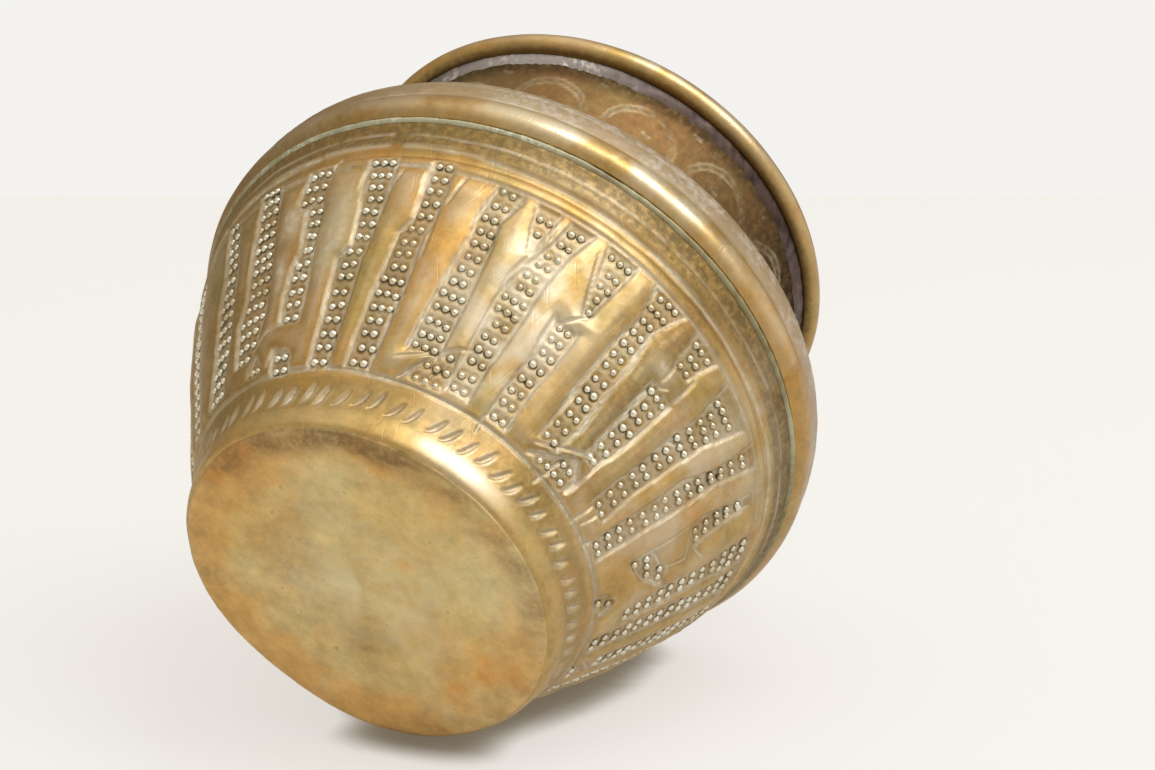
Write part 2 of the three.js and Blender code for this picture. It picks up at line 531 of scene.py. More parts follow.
WALL_BRASS = MetalFinish(
    name="chased_wall_brass",
    main=(0.60, 0.40, 0.14),
    warm=(0.64, 0.34, 0.09),
    olive=(0.50, 0.40, 0.14),
    dark=(0.14, 0.09, 0.03),
    residue=(0.86, 0.82, 0.66),
    polish_and_highlight=(0.82, 0.74, 0.58),
    warm_share=0.4,
    olive_share=0.55,
    roughness=0.41,
    streaks=0.15,
    scratches=0.6,
    grain=0.5,
    coat=0.12,
)
PEARL_BRASS = MetalFinish(
    name="pearl_brass",
    main=(0.70, 0.58, 0.36),
    warm=(0.62, 0.44, 0.22),
    olive=(0.62, 0.55, 0.34),
    dark=(0.34, 0.25, 0.12),
    grime_and_shade=(0.10, 0.08, 0.035),
    polish_and_highlight=(0.95, 0.90, 0.73),
    roughness=0.30,
    coat=0.4,
)
BASE_BRASS = MetalFinish(
    name="mottled_base_brass",
    main=(0.80, 0.585, 0.225),
    warm=(0.82, 0.40, 0.085),
    olive=(0.86, 0.78, 0.44),
    dark=(0.24, 0.14, 0.05),
    grime_and_shade=(0.36, 0.22, 0.08),
    polish_and_highlight=(0.94, 0.88, 0.60),
    warm_share=0.42,
    olive_share=0.6,
    cloud_scale=48.0,
    roughness=0.46,
    streaks=0.0,
    scratches=0.5,
    grain=0.5,
    pits=0.5,
)
BRIGHT_BRASS = MetalFinish(
    name="rubbed_brass",
    main=(0.54, 0.345, 0.115),
    warm=(0.58, 0.31, 0.085),
    olive=(0.42, 0.32, 0.10),
    dark=(0.18, 0.115, 0.045),
    residue=(0.54, 0.46, 0.37),
    polish_and_highlight=(0.86, 0.77, 0.58),
    coat=0.1,
    roughness=0.32,
    streaks=0.2,
    grain=0.1,
)
NECK_BRASS = MetalFinish(
    name="browned_neck_brass",
    main=(0.25, 0.165, 0.072),
    warm=(0.36, 0.18, 0.06),
    olive=(0.26, 0.22, 0.09),
    dark=(0.08, 0.05, 0.025),
    grime_and_shade=(0.06, 0.038, 0.02),
    residue=(0.38, 0.38, 0.26),
    roughness=0.55,
    coat=0.05,
    streaks=0.2,
)
WIRE_BRASS = MetalFinish(
    name="drawn_wire_brass",
    main=(0.55, 0.39, 0.16),
    warm=(0.58, 0.34, 0.13),
    olive=(0.45, 0.38, 0.16),
    dark=(0.2, 0.13, 0.06),
    roughness=0.45,
)
BRAZE = MetalFinish(
    name="cast_braze",
    main=(0.58, 0.43, 0.19),
    warm=(0.60, 0.37, 0.15),
    olive=(0.47, 0.41, 0.20),
    dark=(0.22, 0.15, 0.08),
    roughness=0.5,
    grain=0.8,
    pits=0.8,
    depth=0.06,
)
GREY_SOLDER = MetalFinish(
    name="dull_grey_solder",
    main=(0.115, 0.072, 0.06),
    warm=(0.13, 0.072, 0.045),
    olive=(0.10, 0.08, 0.08),
    dark=(0.04, 0.025, 0.025),
    grime_and_shade=(0.04, 0.026, 0.022),
    residue=(0.96, 0.90, 0.84),
    polish_and_highlight=(0.40, 0.34, 0.30),
    roughness=0.6,
    coat=0.0,
    grain=0.8,
    pits=0.9,
    depth=0.08,
)
GREEN_SOLDER = MetalFinish(
    name="greened_solder",
    main=(0.36, 0.30, 0.15),
    warm=(0.34, 0.25, 0.11),
    olive=(0.38, 0.38, 0.22),
    dark=(0.14, 0.11, 0.05),
    residue=(0.78, 0.80, 0.62),
    polish_and_highlight=(0.60, 0.54, 0.36),
    coat=0.05,
    warm_share=0.35,
    olive_share=0.8,
    cloud_scale=260.0,
    roughness=0.6,
    grain=0.9,
    pits=0.7,
    depth=0.06,
)


@dataclass
class Workshop:
    """What every sub-assembly needs: the shared effects and the materials made so far."""

    effects: Effects
    made: dict[str, bpy.types.Material] = field(default_factory=dict)

    def dress(self, piece: bpy.types.Object, finish: MetalFinish, slot: str, *nodes: str) -> None:
        """Gives a piece its finish and its body, and hides the nodes that it stands for."""
        if finish.name not in self.made:
            self.made[finish.name] = finish.material(self.effects)
        piece.data.materials.clear()
        piece.data.materials.append(self.made[finish.name])
        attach(piece, BODY)
        if nodes:
            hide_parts(*nodes)
        LOG.info("%s: %d faces, %s", piece.name, len(piece.data.polygons), finish.name)


@dataclass(frozen=True)
class Span:
    """A node's reach in millimetres: its lowest and highest point and its largest radius."""

    low: float
    high: float
    radius: float

    @classmethod
    def of(cls, node: str) -> Span:
        """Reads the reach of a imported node."""
        low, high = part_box(node)
        return cls(low[2] / MM, high[2] / MM, high[0] / MM)


# ---------------------------------------------------------------- chased relief


@dataclass
class Relief:
    """A height field over a turned face, which tools cut into and raise.

    Its grid has a row for each outline point and a column for each step round the axis. Places on it
    are given as (turn, height).
    """

    outline: np.ndarray
    columns: int

    def __post_init__(self) -> None:
        """Makes the empty fields."""
        shape = (len(self.outline), self.columns)
        self.turns = np.arange(self.columns) / self.columns * 360.0
        steps = np.linalg.norm(np.diff(self.outline, axis=0), axis=1)
        self.travel = np.concatenate([[0.0], np.cumsum(steps)])
        self.form, self.cut, self.burr = np.zeros(shape), np.zeros(shape), np.zeros(shape)
        self.sunk, self.line, self.proud, self.warm = (np.zeros(shape) for _ in range(4))

    def travel_at(self, height: float) -> float:
        """Returns the distance along the face at a height."""
        return float(np.interp(height, self.outline[:, 1], self.travel))

    def radius_at(self, height: float) -> float:
        """Returns the face's radius at a height."""
        return float(np.interp(height, self.outline[:, 1], self.outline[:, 0]))

    def flatten(self, path: Sequence[Stop], centre: float) -> np.ndarray:
        """Returns places as millimetres across and along the face, about a centre turn."""
        flat = [
            (math.radians(turn - centre) * self.radius_at(height), self.travel_at(height))
            for turn, height in path
        ]
        return np.array(flat)

    def window(self, path: Sequence[Stop], reach: float) -> tuple:
        """Finds the part of the grid round a path.

        Args:
            path: places that the window holds.
            reach: millimetres kept round them.

        Returns:
            The centre turn, the window's index arrays, and its grids of millimetres across and along.
        """
        turns = [turn for turn, _ in path]
        heights = [height for _, height in path]
        centre = 0.5 * (min(turns) + max(turns))
        narrowest = self.radius_at(min(heights))
        half = 0.5 * (max(turns) - min(turns)) + math.degrees(reach / narrowest)
        step = 360.0 / self.columns
        middle = round(centre / step)
        reach_columns = min(self.columns // 2 - 1, math.ceil(half / step))
        columns = np.arange(middle - reach_columns, middle + reach_columns + 1)
        low = self.travel_at(min(heights)) - reach
        high = self.travel_at(max(heights)) + reach
        rows = np.nonzero((self.travel >= low) & (self.travel <= high))[0]
        across = np.radians(columns * step - centre)[None, :] * self.outline[rows, :1]
        along = np.broadcast_to(self.travel[rows][:, None], across.shape)
        return centre, np.ix_(rows, columns % self.columns), across, along

    @staticmethod
    def distance(
        path: np.ndarray, across: np.ndarray, along: np.ndarray
    ) -> tuple[np.ndarray, np.ndarray]:
        """Returns the distance to a polyline, and how far along it the nearest point is, from 0 to 1."""
        lengths = np.linalg.norm(np.diff(path, axis=0), axis=1)
        whole = max(float(lengths.sum()), 1e-6)
        nearest, share = np.full(across.shape, 1e9), np.zeros(across.shape)
        done = 0.0
        for start, end, length in zip(path, path[1:], lengths):
            way = (end - start) / max(length, 1e-6)
            t = np.clip((across - start[0]) * way[0] + (along - start[1]) * way[1], 0.0, length)
            gap = np.hypot(across - start[0] - way[0] * t, along - start[1] - way[1] * t)
            closer = gap < nearest
            nearest = np.where(closer, gap, nearest)
            share = np.where(closer, (done + t) / whole, share)
            done += length
        return nearest, share

    def carve(
        self,
        path: Sequence[Stop],
        width: float,
        depth: float,
        taper: float = 0.25,
        residue: float = 1.0,
    ) -> None:
        """Cuts a groove along a path, which raises a burr, leaves polish in it and darkens the metal beside
        it.

        Args:
            path: places that the tool passes.
            width: half the groove's width.
            depth: how deep it is cut.
            taper: how much of the length the groove takes to fade at its two ends, up to 1.
            residue: how much pale polish it holds, from 0 to 1.
        """
        centre, where, across, along = self.window(path, 4.0 * width)
        gap, share = self.distance(self.flatten(path, centre), across, along)
        ends = np.clip(np.minimum(share, 1.0 - share) * 2.0 / max(taper, 1e-3), 0.0, 1.0) ** 0.5
        wide = width * (0.45 + 0.55 * ends)
        groove = np.exp(-((gap / wide) ** 2)) * (0.25 + 0.75 * ends)
        self.cut[where] = np.maximum(self.cut[where], depth * groove)
        lip = np.exp(-(((gap - 1.75 * wide) / (0.7 * wide)) ** 2)) * ends
        polish = residue * np.exp(-((gap / (0.85 * wide)) ** 2)) * ends
        grime_and_shade = 0.55 * residue * bell(gap, 1.9 * wide, 0.7 * wide) * ends
        self.burr[where] = np.maximum(self.burr[where], 0.12 * depth * lip)
        self.line[where] = np.maximum(self.line[where], polish)
        self.sunk[where] = np.maximum(self.sunk[where], grime_and_shade)
        self.proud[where] = np.maximum(self.proud[where], 0.5 * lip)

    def rise(self) -> np.ndarray:
        """Returns the finished height field."""
        return self.form - self.cut + self.burr * (1.0 - np.clip(self.line, 0.0, 1.0))

    def marks(self) -> dict[str, np.ndarray]:
        """Returns the marks that the finish reads."""
        fields = {"sunk": self.sunk, "line": self.line, "proud": self.proud, "warm": self.warm}
        return {name: np.clip(values, 0.0, 1.0) for name, values in fields.items()}

    def marks_over(self, rest: np.ndarray, unworked: dict[str, float]) -> dict[str, np.ndarray]:
        """Returns the marks with rows added for the unworked back, which has these values."""
        marks = self.marks().items()
        return {name: np.vstack([values, rest + unworked.get(name, 0.0)]) for name, values in marks}


@dataclass(frozen=True)
class Panel:
    """A sunk panel of pearls: its corners as (turn, height), walked round once, and its stray cuts."""

    corners: tuple[Stop, ...]
    flicks: tuple[tuple[Stop, ...], ...] = ()

    @classmethod
    def band(
        cls, *stops: tuple[float, float, float], flicks: tuple[tuple[Stop, ...], ...] = ()
    ) -> Panel:
        """Makes a tall panel from (height, left turn, right turn) stops, lowest first."""
        left = tuple((left, height) for height, left, _ in stops)
        right = tuple((right, height) for height, _, right in reversed(stops))
        return cls(left + right, flicks)


FACING_PANELS = (
    Panel.band(
        (11.5, -29.5, -21.5), (20, -25.5, -18.8), (27, -25.2, -18.6), (33, -23.6, -18.8), (45, -25, -21.5),
    ),
    Panel.band(
        (13.8, -15.5, -9), (20, -15.5, -6), (25, -13, -5.4), (36, -13.2, -7.2), (44.5, -13.4, -8.2),
        flicks=(((-9.5, 44), (-8, 38)), ((-8.8, 14.6), (-3.5, 17), (3, 18.4))),
    ),
    Panel(((-10.8, 11.2), (-5, 11.4), (-7.5, 14.2))),
    Panel(((-1.2, 9.9), (4.4, 9.9), (4.2, 12.6), (-1.2, 14.2)), flicks=(((-3.2, 11.4), (-0.8, 14.4)),)),
    Panel.band(
        (17.6, 0, 5.6), (23, -0.2, 5.8), (27, 0.6, 5.6), (29.5, 2.2, 5.2), (36, 1.4, 5.3), (38.2, -2, 4.4),
        (43.4, 0, 5.2),
        flicks=(((4.4, 40), (6.2, 45.4)), ((1, 28.6), (3.2, 24.6)), ((1.2, 36.2), (4.6, 39.5))),
    ),
    Panel.band(
        (10.3, 10.6, 16.4), (18, 12, 17.6), (27, 12, 17.8), (28.6, 14.4, 18.2), (36, 13.6, 18.8),
        (43.4, 13.2, 18.6),
        flicks=(((18.2, 33), (19, 38), (20.6, 41.8)), ((12.6, 38), (13, 42))),
    ),
    Panel.band(
        (10.5, 21.2, 28.2), (13.6, 22, 29), (22, 23, 29.6), (31, 23.8, 29.2), (33.8, 25.8, 30.2),
        (43.4, 25.8, 29.8),
        flicks=(
            ((25, 41.8), (26, 36), (25.8, 32.4), (24, 31)),
            ((30.4, 27.4), (30.2, 33.6)),
            ((31, 36.6), (32.6, 42)),
        ),
    ),
    Panel.band(
        (14.9, 35.6, 43), (24, 36.8, 43.2), (33, 38, 42.6), (36.6, 37.4, 42), (41.8, 38.6, 43.6),
        flicks=(((42.2, 37), (44.2, 41.4)), ((41.8, 37), (42, 31.4))),
    ),
    Panel(
        ((36, 10.7), (47.4, 11.2), (48, 13.6), (47, 16.6), (42.2, 15)),
        flicks=(((33.4, 13), (41, 15), (49.4, 18)), ((42.6, 11), (45.2, 14.6))),
    ),
    Panel.band(
        (11.6, 48.4, 54.6), (18, 48.6, 54.6), (27, 48.4, 55), (32, 50.2, 55.2), (36.6, 52.4, 56),
        (41.6, 53.4, 58),
    ),
    Panel(
        ((49.6, 34.6), (51.2, 41.8), (46.4, 41.8), (47.4, 38)),
        flicks=(((52, 41), (50, 34), (48.2, 29.6), (48.2, 26)), ((47.2, 38.6), (49.2, 33.6))),
    ),
    Panel.band(
        (11.2, 60, 66), (18, 60.4, 65.6), (22, 61, 66.2), (28, 60.6, 66.2),
        flicks=(
            ((60.3, 23.4), (60.2, 28.6)),
            ((61.6, 27.6), (63.4, 29), (65.6, 30.8)),
            ((59.8, 11.6), (60, 8.4)),
        ),
    ),
    Panel(
        ((64.4, 31), (65.8, 31), (67.6, 41.8), (61, 41.8)),
        flicks=(((60.2, 40), (64.2, 31)), ((65.6, 30.6), (66, 36))),
    ),
    Panel.band(
        (14, 73, 79.4), (18, 73.2, 79.6), (23, 72.4, 78.6), (31.6, 72.4, 77.8), (36, 73.4, 77),
        (41.6, 71.8, 79.4),
        flicks=(((77.6, 37.8), (80, 42)), ((77.4, 30.6), (77.2, 36.4)), ((73.2, 14), (73.2, 22.6))),
    ),
    Panel(
        ((73.8, 11.1), (88, 11.3), (88.2, 13.4), (84.4, 15.4)),
        flicks=(
            ((73, 12.6), (79, 14.8), (85.4, 17.2)),
            ((80.4, 11.2), (82.2, 14.8)),
            ((79.4, 8.4), (81.4, 11.6)),
        ),
    ),
    Panel.band(
        (16.8, 85, 88.6), (19.4, 84.6, 89.4), (24, 84.4, 90), (31.4, 83.6, 89.8),
        flicks=(((85.2, 31.4), (87, 32.6)), ((88.6, 11.4), (88.6, 19)), ((85, 16.8), (83.4, 30.6))),
    ),
    Panel.band(
        (35.6, 84.6, 88.2), (37.6, 84.2, 89), (41.6, 83.4, 90.6),
        flicks=(((84.6, 32), (84.8, 36)), ((89.7, 31.6), (89.6, 37.2))),
    ),
    Panel.band(
        (14.2, 95, 101.4), (20, 95, 100.4), (29, 95.2, 101.2), (32.4, 95.8, 101.6), (35, 96, 102.4),
        (41.2, 95, 104.8),
        flicks=(
            ((95, 9.6), (95.8, 14.2)), ((95.2, 10.4), (103, 10.4), (104.4, 12.4)), ((97.4, 11), (98.6, 14.2)),
            ((95.4, 28), (98, 30.4)),
        ),
    ),
    Panel.band(
        (11.6, 104.4, 109.6), (20, 104.8, 110.2), (28, 105.2, 110.8), (31.4, 107, 111), (34, 108, 111),
        (41.8, 108.6, 113.6),
        flicks=(((108.2, 33), (111.2, 35.6)),),
    ),
    Panel.band(
        (28.4, 117, 122.6), (31, 116.6, 122), (36, 118, 121.4), (40.4, 119, 121.6),
        flicks=(((116, 27.6), (116.4, 22), (117, 18)),),
    ),
    Panel(
        ((116.8, 17.2), (122.4, 18.6), (129, 23.4), (122, 22.4), (117, 21)),
        flicks=(((122.4, 28.4), (127, 30.6)), ((117, 28), (123.6, 26.6), (123, 22))),
    ),
    Panel(((121.6, 10.6), (129, 12), (127, 13.8), (123, 13))),
    Panel.band((16.6, 131.5, 136), (24, 130, 135.6), (31, 130.6, 135), (41.6, 129.6, 137)),
)
FREE_ARC = (141.0, 327.0)
PANEL_PITCH = 11.8


def invented_panels(hand: random.Random) -> list[Panel]:
    """Chases the rest of the wall in the same manner: unruly bands, some over a bottom triangle."""
    panels = []
    turn = FREE_ARC[0]
    while turn < FREE_ARC[1]:
        lean = hand.uniform(-1.0, 2.4)
        half = hand.uniform(2.5, 3.2)
        foot = 16.5 if hand.random() < 0.3 else hand.uniform(11.0, 13.0)
        pinch = hand.uniform(27.0, 36.0)
        stops = []
        for height in (foot, 20.0, pinch - 2.2, pinch, 37.5, 41.7):
            share = (height - 11.0) / 31.0
            kink = 1.3 if height == pinch else 0.0
            flare = 1.5 if height > 40.0 else 0.0
            middle = turn + lean * share + hand.uniform(-0.4, 0.4)
            stops.append((height, middle - half + kink - 0.5 * flare, middle + half + flare))
        top = stops[-1]
        kinked = stops[3]
        flicks = [((kinked[1] - 1.8, pinch - 3.6), (kinked[1] + 1.0, pinch + 0.6))]
        if hand.random() < 0.6:
            flicks.append(((top[2] - 1.6, 36.8), (top[2] + 1.2, 42.2)))
        if foot > 16.0:
            panels.append(Panel(((turn - 3.4, 11.0), (turn + 4.4, 11.2), (turn + 2.4, 14.6))))
            flicks.append(((turn - 4.6, 12.4), (turn + 5.0, 17.2)))
        panels.append(Panel.band(*stops, flicks=tuple(flicks)))
        turn += PANEL_PITCH + hand.uniform(-0.9, 0.9)
    return panels


@dataclass
class ChasedWall:
    """The tapered wall: plain foot, ring of gouge marks, chased field, mouldings and the lap.

    Its stains are given as (turn, height, width, tallness).
    """

    span: Span
    columns: int = 960
    lower_border: float = 10.3
    upper_border: float = 41.9
    puff: float = 0.48
    puff_round: float = 3.0
    floor: float = 0.24
    pearl_pitch: float = 2.35
    pearl_gap: float = 1.62
    pearl_radius: float = 0.62
    pearl_margin: float = 0.85
    gouge_count: int = 68
    stains: tuple[tuple[float, float, float, float], ...] = (
        (9.5, 34.0, 4.0, 7.0),
        (-2.0, 35.0, 2.5, 3.0),
        (9.0, 27.0, 2.5, 3.5),
        (84.0, 33.6, 2.5, 1.5),
        (-3.0, 26.0, 2.0, 3.0),
    )

    def outline(self) -> tuple[np.ndarray, int]:
        """Returns the closed outline, and how many of its points are on the outer face."""
        foot, lap = self.span.low, self.span.high
        plain = smooth_run(
            [(30.35, foot - 1.4), (30.95, foot - 1.05), (31.45, foot + 0.1), (32.35, 5.2), (33.2, 7.6),
             (34.1, 9.9)],
            0.26,
        )
        fielded = smooth_run([(34.1, 9.9), (38.4, 17.6), (42.9, 26.0), (46.7, 34.0), (50.2, 41.9)], 0.275)[1:]
        moulded = smooth_run(
            [(50.2, 41.9), (50.72, 42.9), (50.85, 43.9), (50.65, 44.8), (51.0, 45.5), (51.75, 46.4),
             (52.05, 47.3), (52.15, 48.2), (52.6, 49.5), (53.05, 50.6), (53.1, 51.0)],
            0.33,
        )[1:]
        tucked = smooth_run([(53.0, 51.1), (52.0, 51.6), (52.0, lap)], 1.2)
        inner = smooth_run(
            [(50.8, lap), (50.7, 50.2), (49.4, 43.6), (41.9, 26.6), (33.0, 10.3), (29.6, foot)], 2.4
        )
        outer = np.vstack([plain, fielded, moulded, tucked])
        return np.vstack([outer, inner]), len(plain) + len(fielded) + len(moulded)

    def border(self, turn: float | np.ndarray, base: float, sway: float) -> float | np.ndarray:
        """Returns the height of a border line, which wavers round the wall."""
        angle = np.radians(turn)
        waver = 0.16 * np.sin(3.0 * angle + 1.0) + 0.1 * np.sin(7.0 * angle)
        return base + sway * np.cos(angle - 0.1) + waver

    def signed_gap(self, relief: Relief, panels: Sequence[Panel]) -> np.ndarray:
        """Returns the distance of each grid point outside the nearest panel, negative inside one."""
        gaps = np.full(relief.form.shape, 9.0)
        for panel in panels:
            loop = panel.corners + panel.corners[:1]
            centre, where, across, along = relief.window(loop, 5.5)
            edge = relief.flatten(loop, centre)
            gap, _ = relief.distance(edge, across, along)
            inside = np.zeros(across.shape, bool)
            for (x0, y0), (x1, y1) in zip(edge, edge[1:]):
                crosses = (y0 > along) != (y1 > along)
                with np.errstate(divide="ignore", invalid="ignore"):
                    side = across < (x1 - x0) * (along - y0) / (y1 - y0) + x0
                inside ^= crosses & side
            gaps[where] = np.minimum(gaps[where], np.where(inside, -gap, gap))
        return gaps

    def raise_field(self, relief: Relief, panels: Sequence[Panel]) -> None:
        """Sinks the panels and puffs up the metal between them."""
        heights = relief.outline[:, 1:]
        low = self.border(relief.turns[None, :], self.lower_border, -0.35)
        high = self.border(relief.turns[None, :], self.upper_border, 0.3)
        gap = self.signed_gap(relief, panels)
        border_gap = np.minimum(heights - low, high - heights)
        inside = smoothstep(0.0, 3.2, border_gap)
        near = np.minimum(gap, border_gap)
        rounding = 1.0 - np.clip(gap / self.puff_round, 0.0, 1.0)
        puff = self.puff * (1.0 - rounding**2.0) * (gap > 0.0) * inside
        wide = smoothstep(1.0, 4.2, near)
        sunk = smoothstep(0.0, 0.4, -gap)
        relief.form += puff * (1.0 + 0.12 * wide) - self.floor * sunk
        relief.sunk = np.maximum(relief.sunk, 0.55 * smoothstep(0.0, 0.35, -gap))
        relief.sunk = np.maximum(relief.sunk, 0.6 * bell(near, 0.1, 0.4) * (near > -0.2))
        mouldings = 0.9 * smoothstep(45.9, 46.8, heights)
        gouged_ring = 0.35 * smoothstep(9.8, 8.6, heights) * smoothstep(3.0, 4.5, heights)
        # Painted shadow: a dark band just under the bead's overhang, round turn 100.
        painted_shadow_under_bead = 0.6 * bell(heights, 50.2, 0.9) * bell(turn_gap(relief.turns[None, :], 100.0), 0.0, 30.0)
        relief.sunk = np.maximum(relief.sunk, mouldings + gouged_ring + painted_shadow_under_bead)
        relief.proud = np.maximum(relief.proud, 0.3 * smoothstep(0.7, 2.0, near))
        self.patina(relief)

    def patina(self, relief: Relief) -> None:
        """Marks the painted highlights on the foot and the lit lobes, the painted shade on the sides turned
        from the light, the orange sides and the crusty stains near one band.
        """
        heights, turns = relief.outline[:, 1:], relief.turns[None, :]

        def round_about(turn: float, width: float) -> np.ndarray:
            """Returns a stretch of the wall that fades away from one turn."""
            return bell(turn_gap(turns, turn), 0.0, width)

        # Painted highlights: the pale tone laid where the softbox's reflection falls, on the foot round turn
        # 64, on the lobes round turn 54 and on the lobes round turn 108.
        foot_painted_highlight = bell(heights, 2.6, 1.8) * (0.1 + 0.9 * round_about(64.0, 17.0))
        for polish_and_highlight in (
            round_about(54.0, 13.0) * bell(heights, 27.0, 15.0),
            foot_painted_highlight,
            0.6 * round_about(108.0, 16.0) * bell(heights, 30.0, 18.0),
        ):
            relief.proud = np.maximum(relief.proud, polish_and_highlight)
        orange = 0.8 * round_about(10.0, 30.0) + 0.4 * round_about(112.0, 24.0)
        orange_corner = 0.8 * round_about(80.0, 5.0) * bell(heights, 42.0, 3.0)
        relief.warm = (orange + orange_corner) * smoothstep(4.0, 12.0, heights)
        # Painted shade: the sides turned from the light, round turn -20 and turn 81, darken toward the grime
        # tone and lose most of their painted highlight.
        shaded = 0.6 * round_about(-20.0, 26.0) + 0.7 * round_about(81.0, 13.0)
        relief.sunk = np.maximum(relief.sunk, shaded * smoothstep(2.0, 6.0, heights))
        relief.proud = relief.proud * (1.0 - 0.7 * np.clip(shaded, 0.0, 1.0))
        for turn, height, wide, tall in self.stains:
            stain = round_about(turn, wide) * bell(heights, height, tall)
            relief.line = np.maximum(relief.line, 0.65 * stain)

    def chase(self, relief: Relief, panels: Sequence[Panel], hand: random.Random) -> None:
        """Cuts the outlines of the panels, a straight chisel stroke at a time, and the stray cuts."""
        for panel in panels:
            loop = panel.corners + panel.corners[:1]
            for (turn, height), (next_turn, next_height) in zip(loop, loop[1:]):
                slip = hand.uniform(-0.22, 0.22)
                over_turn, over_height = 0.06 * (next_turn - turn), 0.06 * (next_height - height)
                path = (
                    (turn - over_turn + slip, height - over_height),
                    (next_turn + over_turn + slip, next_height + over_height),
                )
                if abs(next_height - height) < 1.2:
                    continue
                firm = hand.uniform(0.55, 1.0)
                relief.carve(path, 0.19 + 0.07 * firm, 0.36 * firm, 0.2, 1.0)
            for flick in panel.flicks:
                relief.carve(flick, 0.24, 0.36, 0.35, 0.95)

    def ring_lines(self, relief: Relief, hand: random.Random) -> None:
        """Scores the lines that run round the wall, in strokes that don't quite meet."""
        for base, sway, width, depth, residue in (
            (self.lower_border, -0.35, 0.27, 0.34, 0.95),
            (self.upper_border + 0.1, 0.3, 0.24, 0.24, 0.7),
            (45.55, 0.45, 0.24, 0.16, 0.95),
            (48.35, 0.1, 0.12, 0.05, 0.4),
        ):
            turn = hand.uniform(0.0, 20.0)
            end = turn + 358.0
            while turn < end:
                length = hand.uniform(14.0, 34.0)
                slip = hand.uniform(-0.12, 0.12)
                turns = np.linspace(turn, min(turn + length, end), 7)
                path = [(float(t), float(self.border(t, base, sway)) + slip) for t in turns]
                relief.carve(path, width, depth * hand.uniform(0.8, 1.1), 0.1, residue)
                turn += length - hand.uniform(-0.6, 1.4)

    def gouge(self, relief: Relief, hand: random.Random) -> None:
        """Cuts the ring of slanted comma marks with a curved gouge."""
        for index in range(self.gouge_count):
            turn = index * 360.0 / self.gouge_count + hand.uniform(-0.7, 0.7)
            low = 4.5 + hand.uniform(-0.35, 0.35)
            lean = hand.uniform(3.4, 4.4)
            tall = hand.uniform(2.7, 3.4)
            path = [(turn + lean * (s**0.8), low + tall * s**1.35) for s in (0.0, 0.25, 0.5, 0.75, 1.0)]
            relief.carve(path, hand.uniform(0.34, 0.45), hand.uniform(0.36, 0.5), 0.9, 1.0)

    def pearl_places(self, relief: Relief, panels: Sequence[Panel], hand: random.Random) -> list[tuple]:
        """Returns (turn, height, size) for each pearl: rows across each panel, as many as fit."""
        places = []
        for panel in panels:
            loop = panel.corners + panel.corners[:1]
            centre = 0.5 * (min(t for t, _ in loop) + max(t for t, _ in loop))
            edge = relief.flatten(loop, centre)
            along = edge[:, 1].min() + 0.8
            while along < edge[:, 1].max() - 0.6:
                crossings = []
                for (x0, y0), (x1, y1) in zip(edge, edge[1:]):
                    if (y0 > along) != (y1 > along):
                        crossings.append(x0 + (x1 - x0) * (along - y0) / (y1 - y0))
                crossings.sort()
                height = float(np.interp(along, relief.travel, relief.outline[:, 1]))
                for left, right in zip(crossings[::2], crossings[1::2]):
                    room = right - left - 2.0 * self.pearl_margin
                    if room < -0.5:
                        continue
                    count = 1 if room < 0.7 else 2 if room < 2.9 else 3 if room < 4.7 else 4
                    step = min(self.pearl_gap, max(room, 0.0) / max(count - 1, 1))
                    drift = 0.3 * (room - step * (count - 1)) * hand.uniform(-1.0, 1.0)
                    for number in range(count):
                        place = (number - 0.5 * (count - 1)) * step
                        across = 0.5 * (left + right) + place + drift + hand.uniform(-0.1, 0.1)
                        slip = hand.uniform(-0.12, 0.12)
                        turn = centre + math.degrees(across / relief.radius_at(height))
                        places.append((turn, height + slip, hand.uniform(0.86, 1.08)))
                along += self.pearl_pitch * hand.uniform(0.93, 1.1)
        return places

    def ring_pearls(self, relief: Relief, places: Sequence[tuple]) -> None:
        """Sinks and darkens the floor round each pearl, and leaves pale residue beyond it."""
        for turn, height, size in places:
            path = ((turn, height), (turn, height + 0.01))
            centre, where, across, along = relief.window(path, 1.4)
            gap, _ = relief.distance(relief.flatten(path, centre), across, along)
            ring = bell(gap, self.pearl_radius * size + 0.12, 0.24)
            relief.sunk[where] = np.maximum(relief.sunk[where], 0.8 * ring)
            outside = 0.45 * bell(gap, self.pearl_radius + 0.62, 0.22)
            relief.line[where] = np.maximum(relief.line[where], outside)
            relief.form[where] -= 0.10 * ring

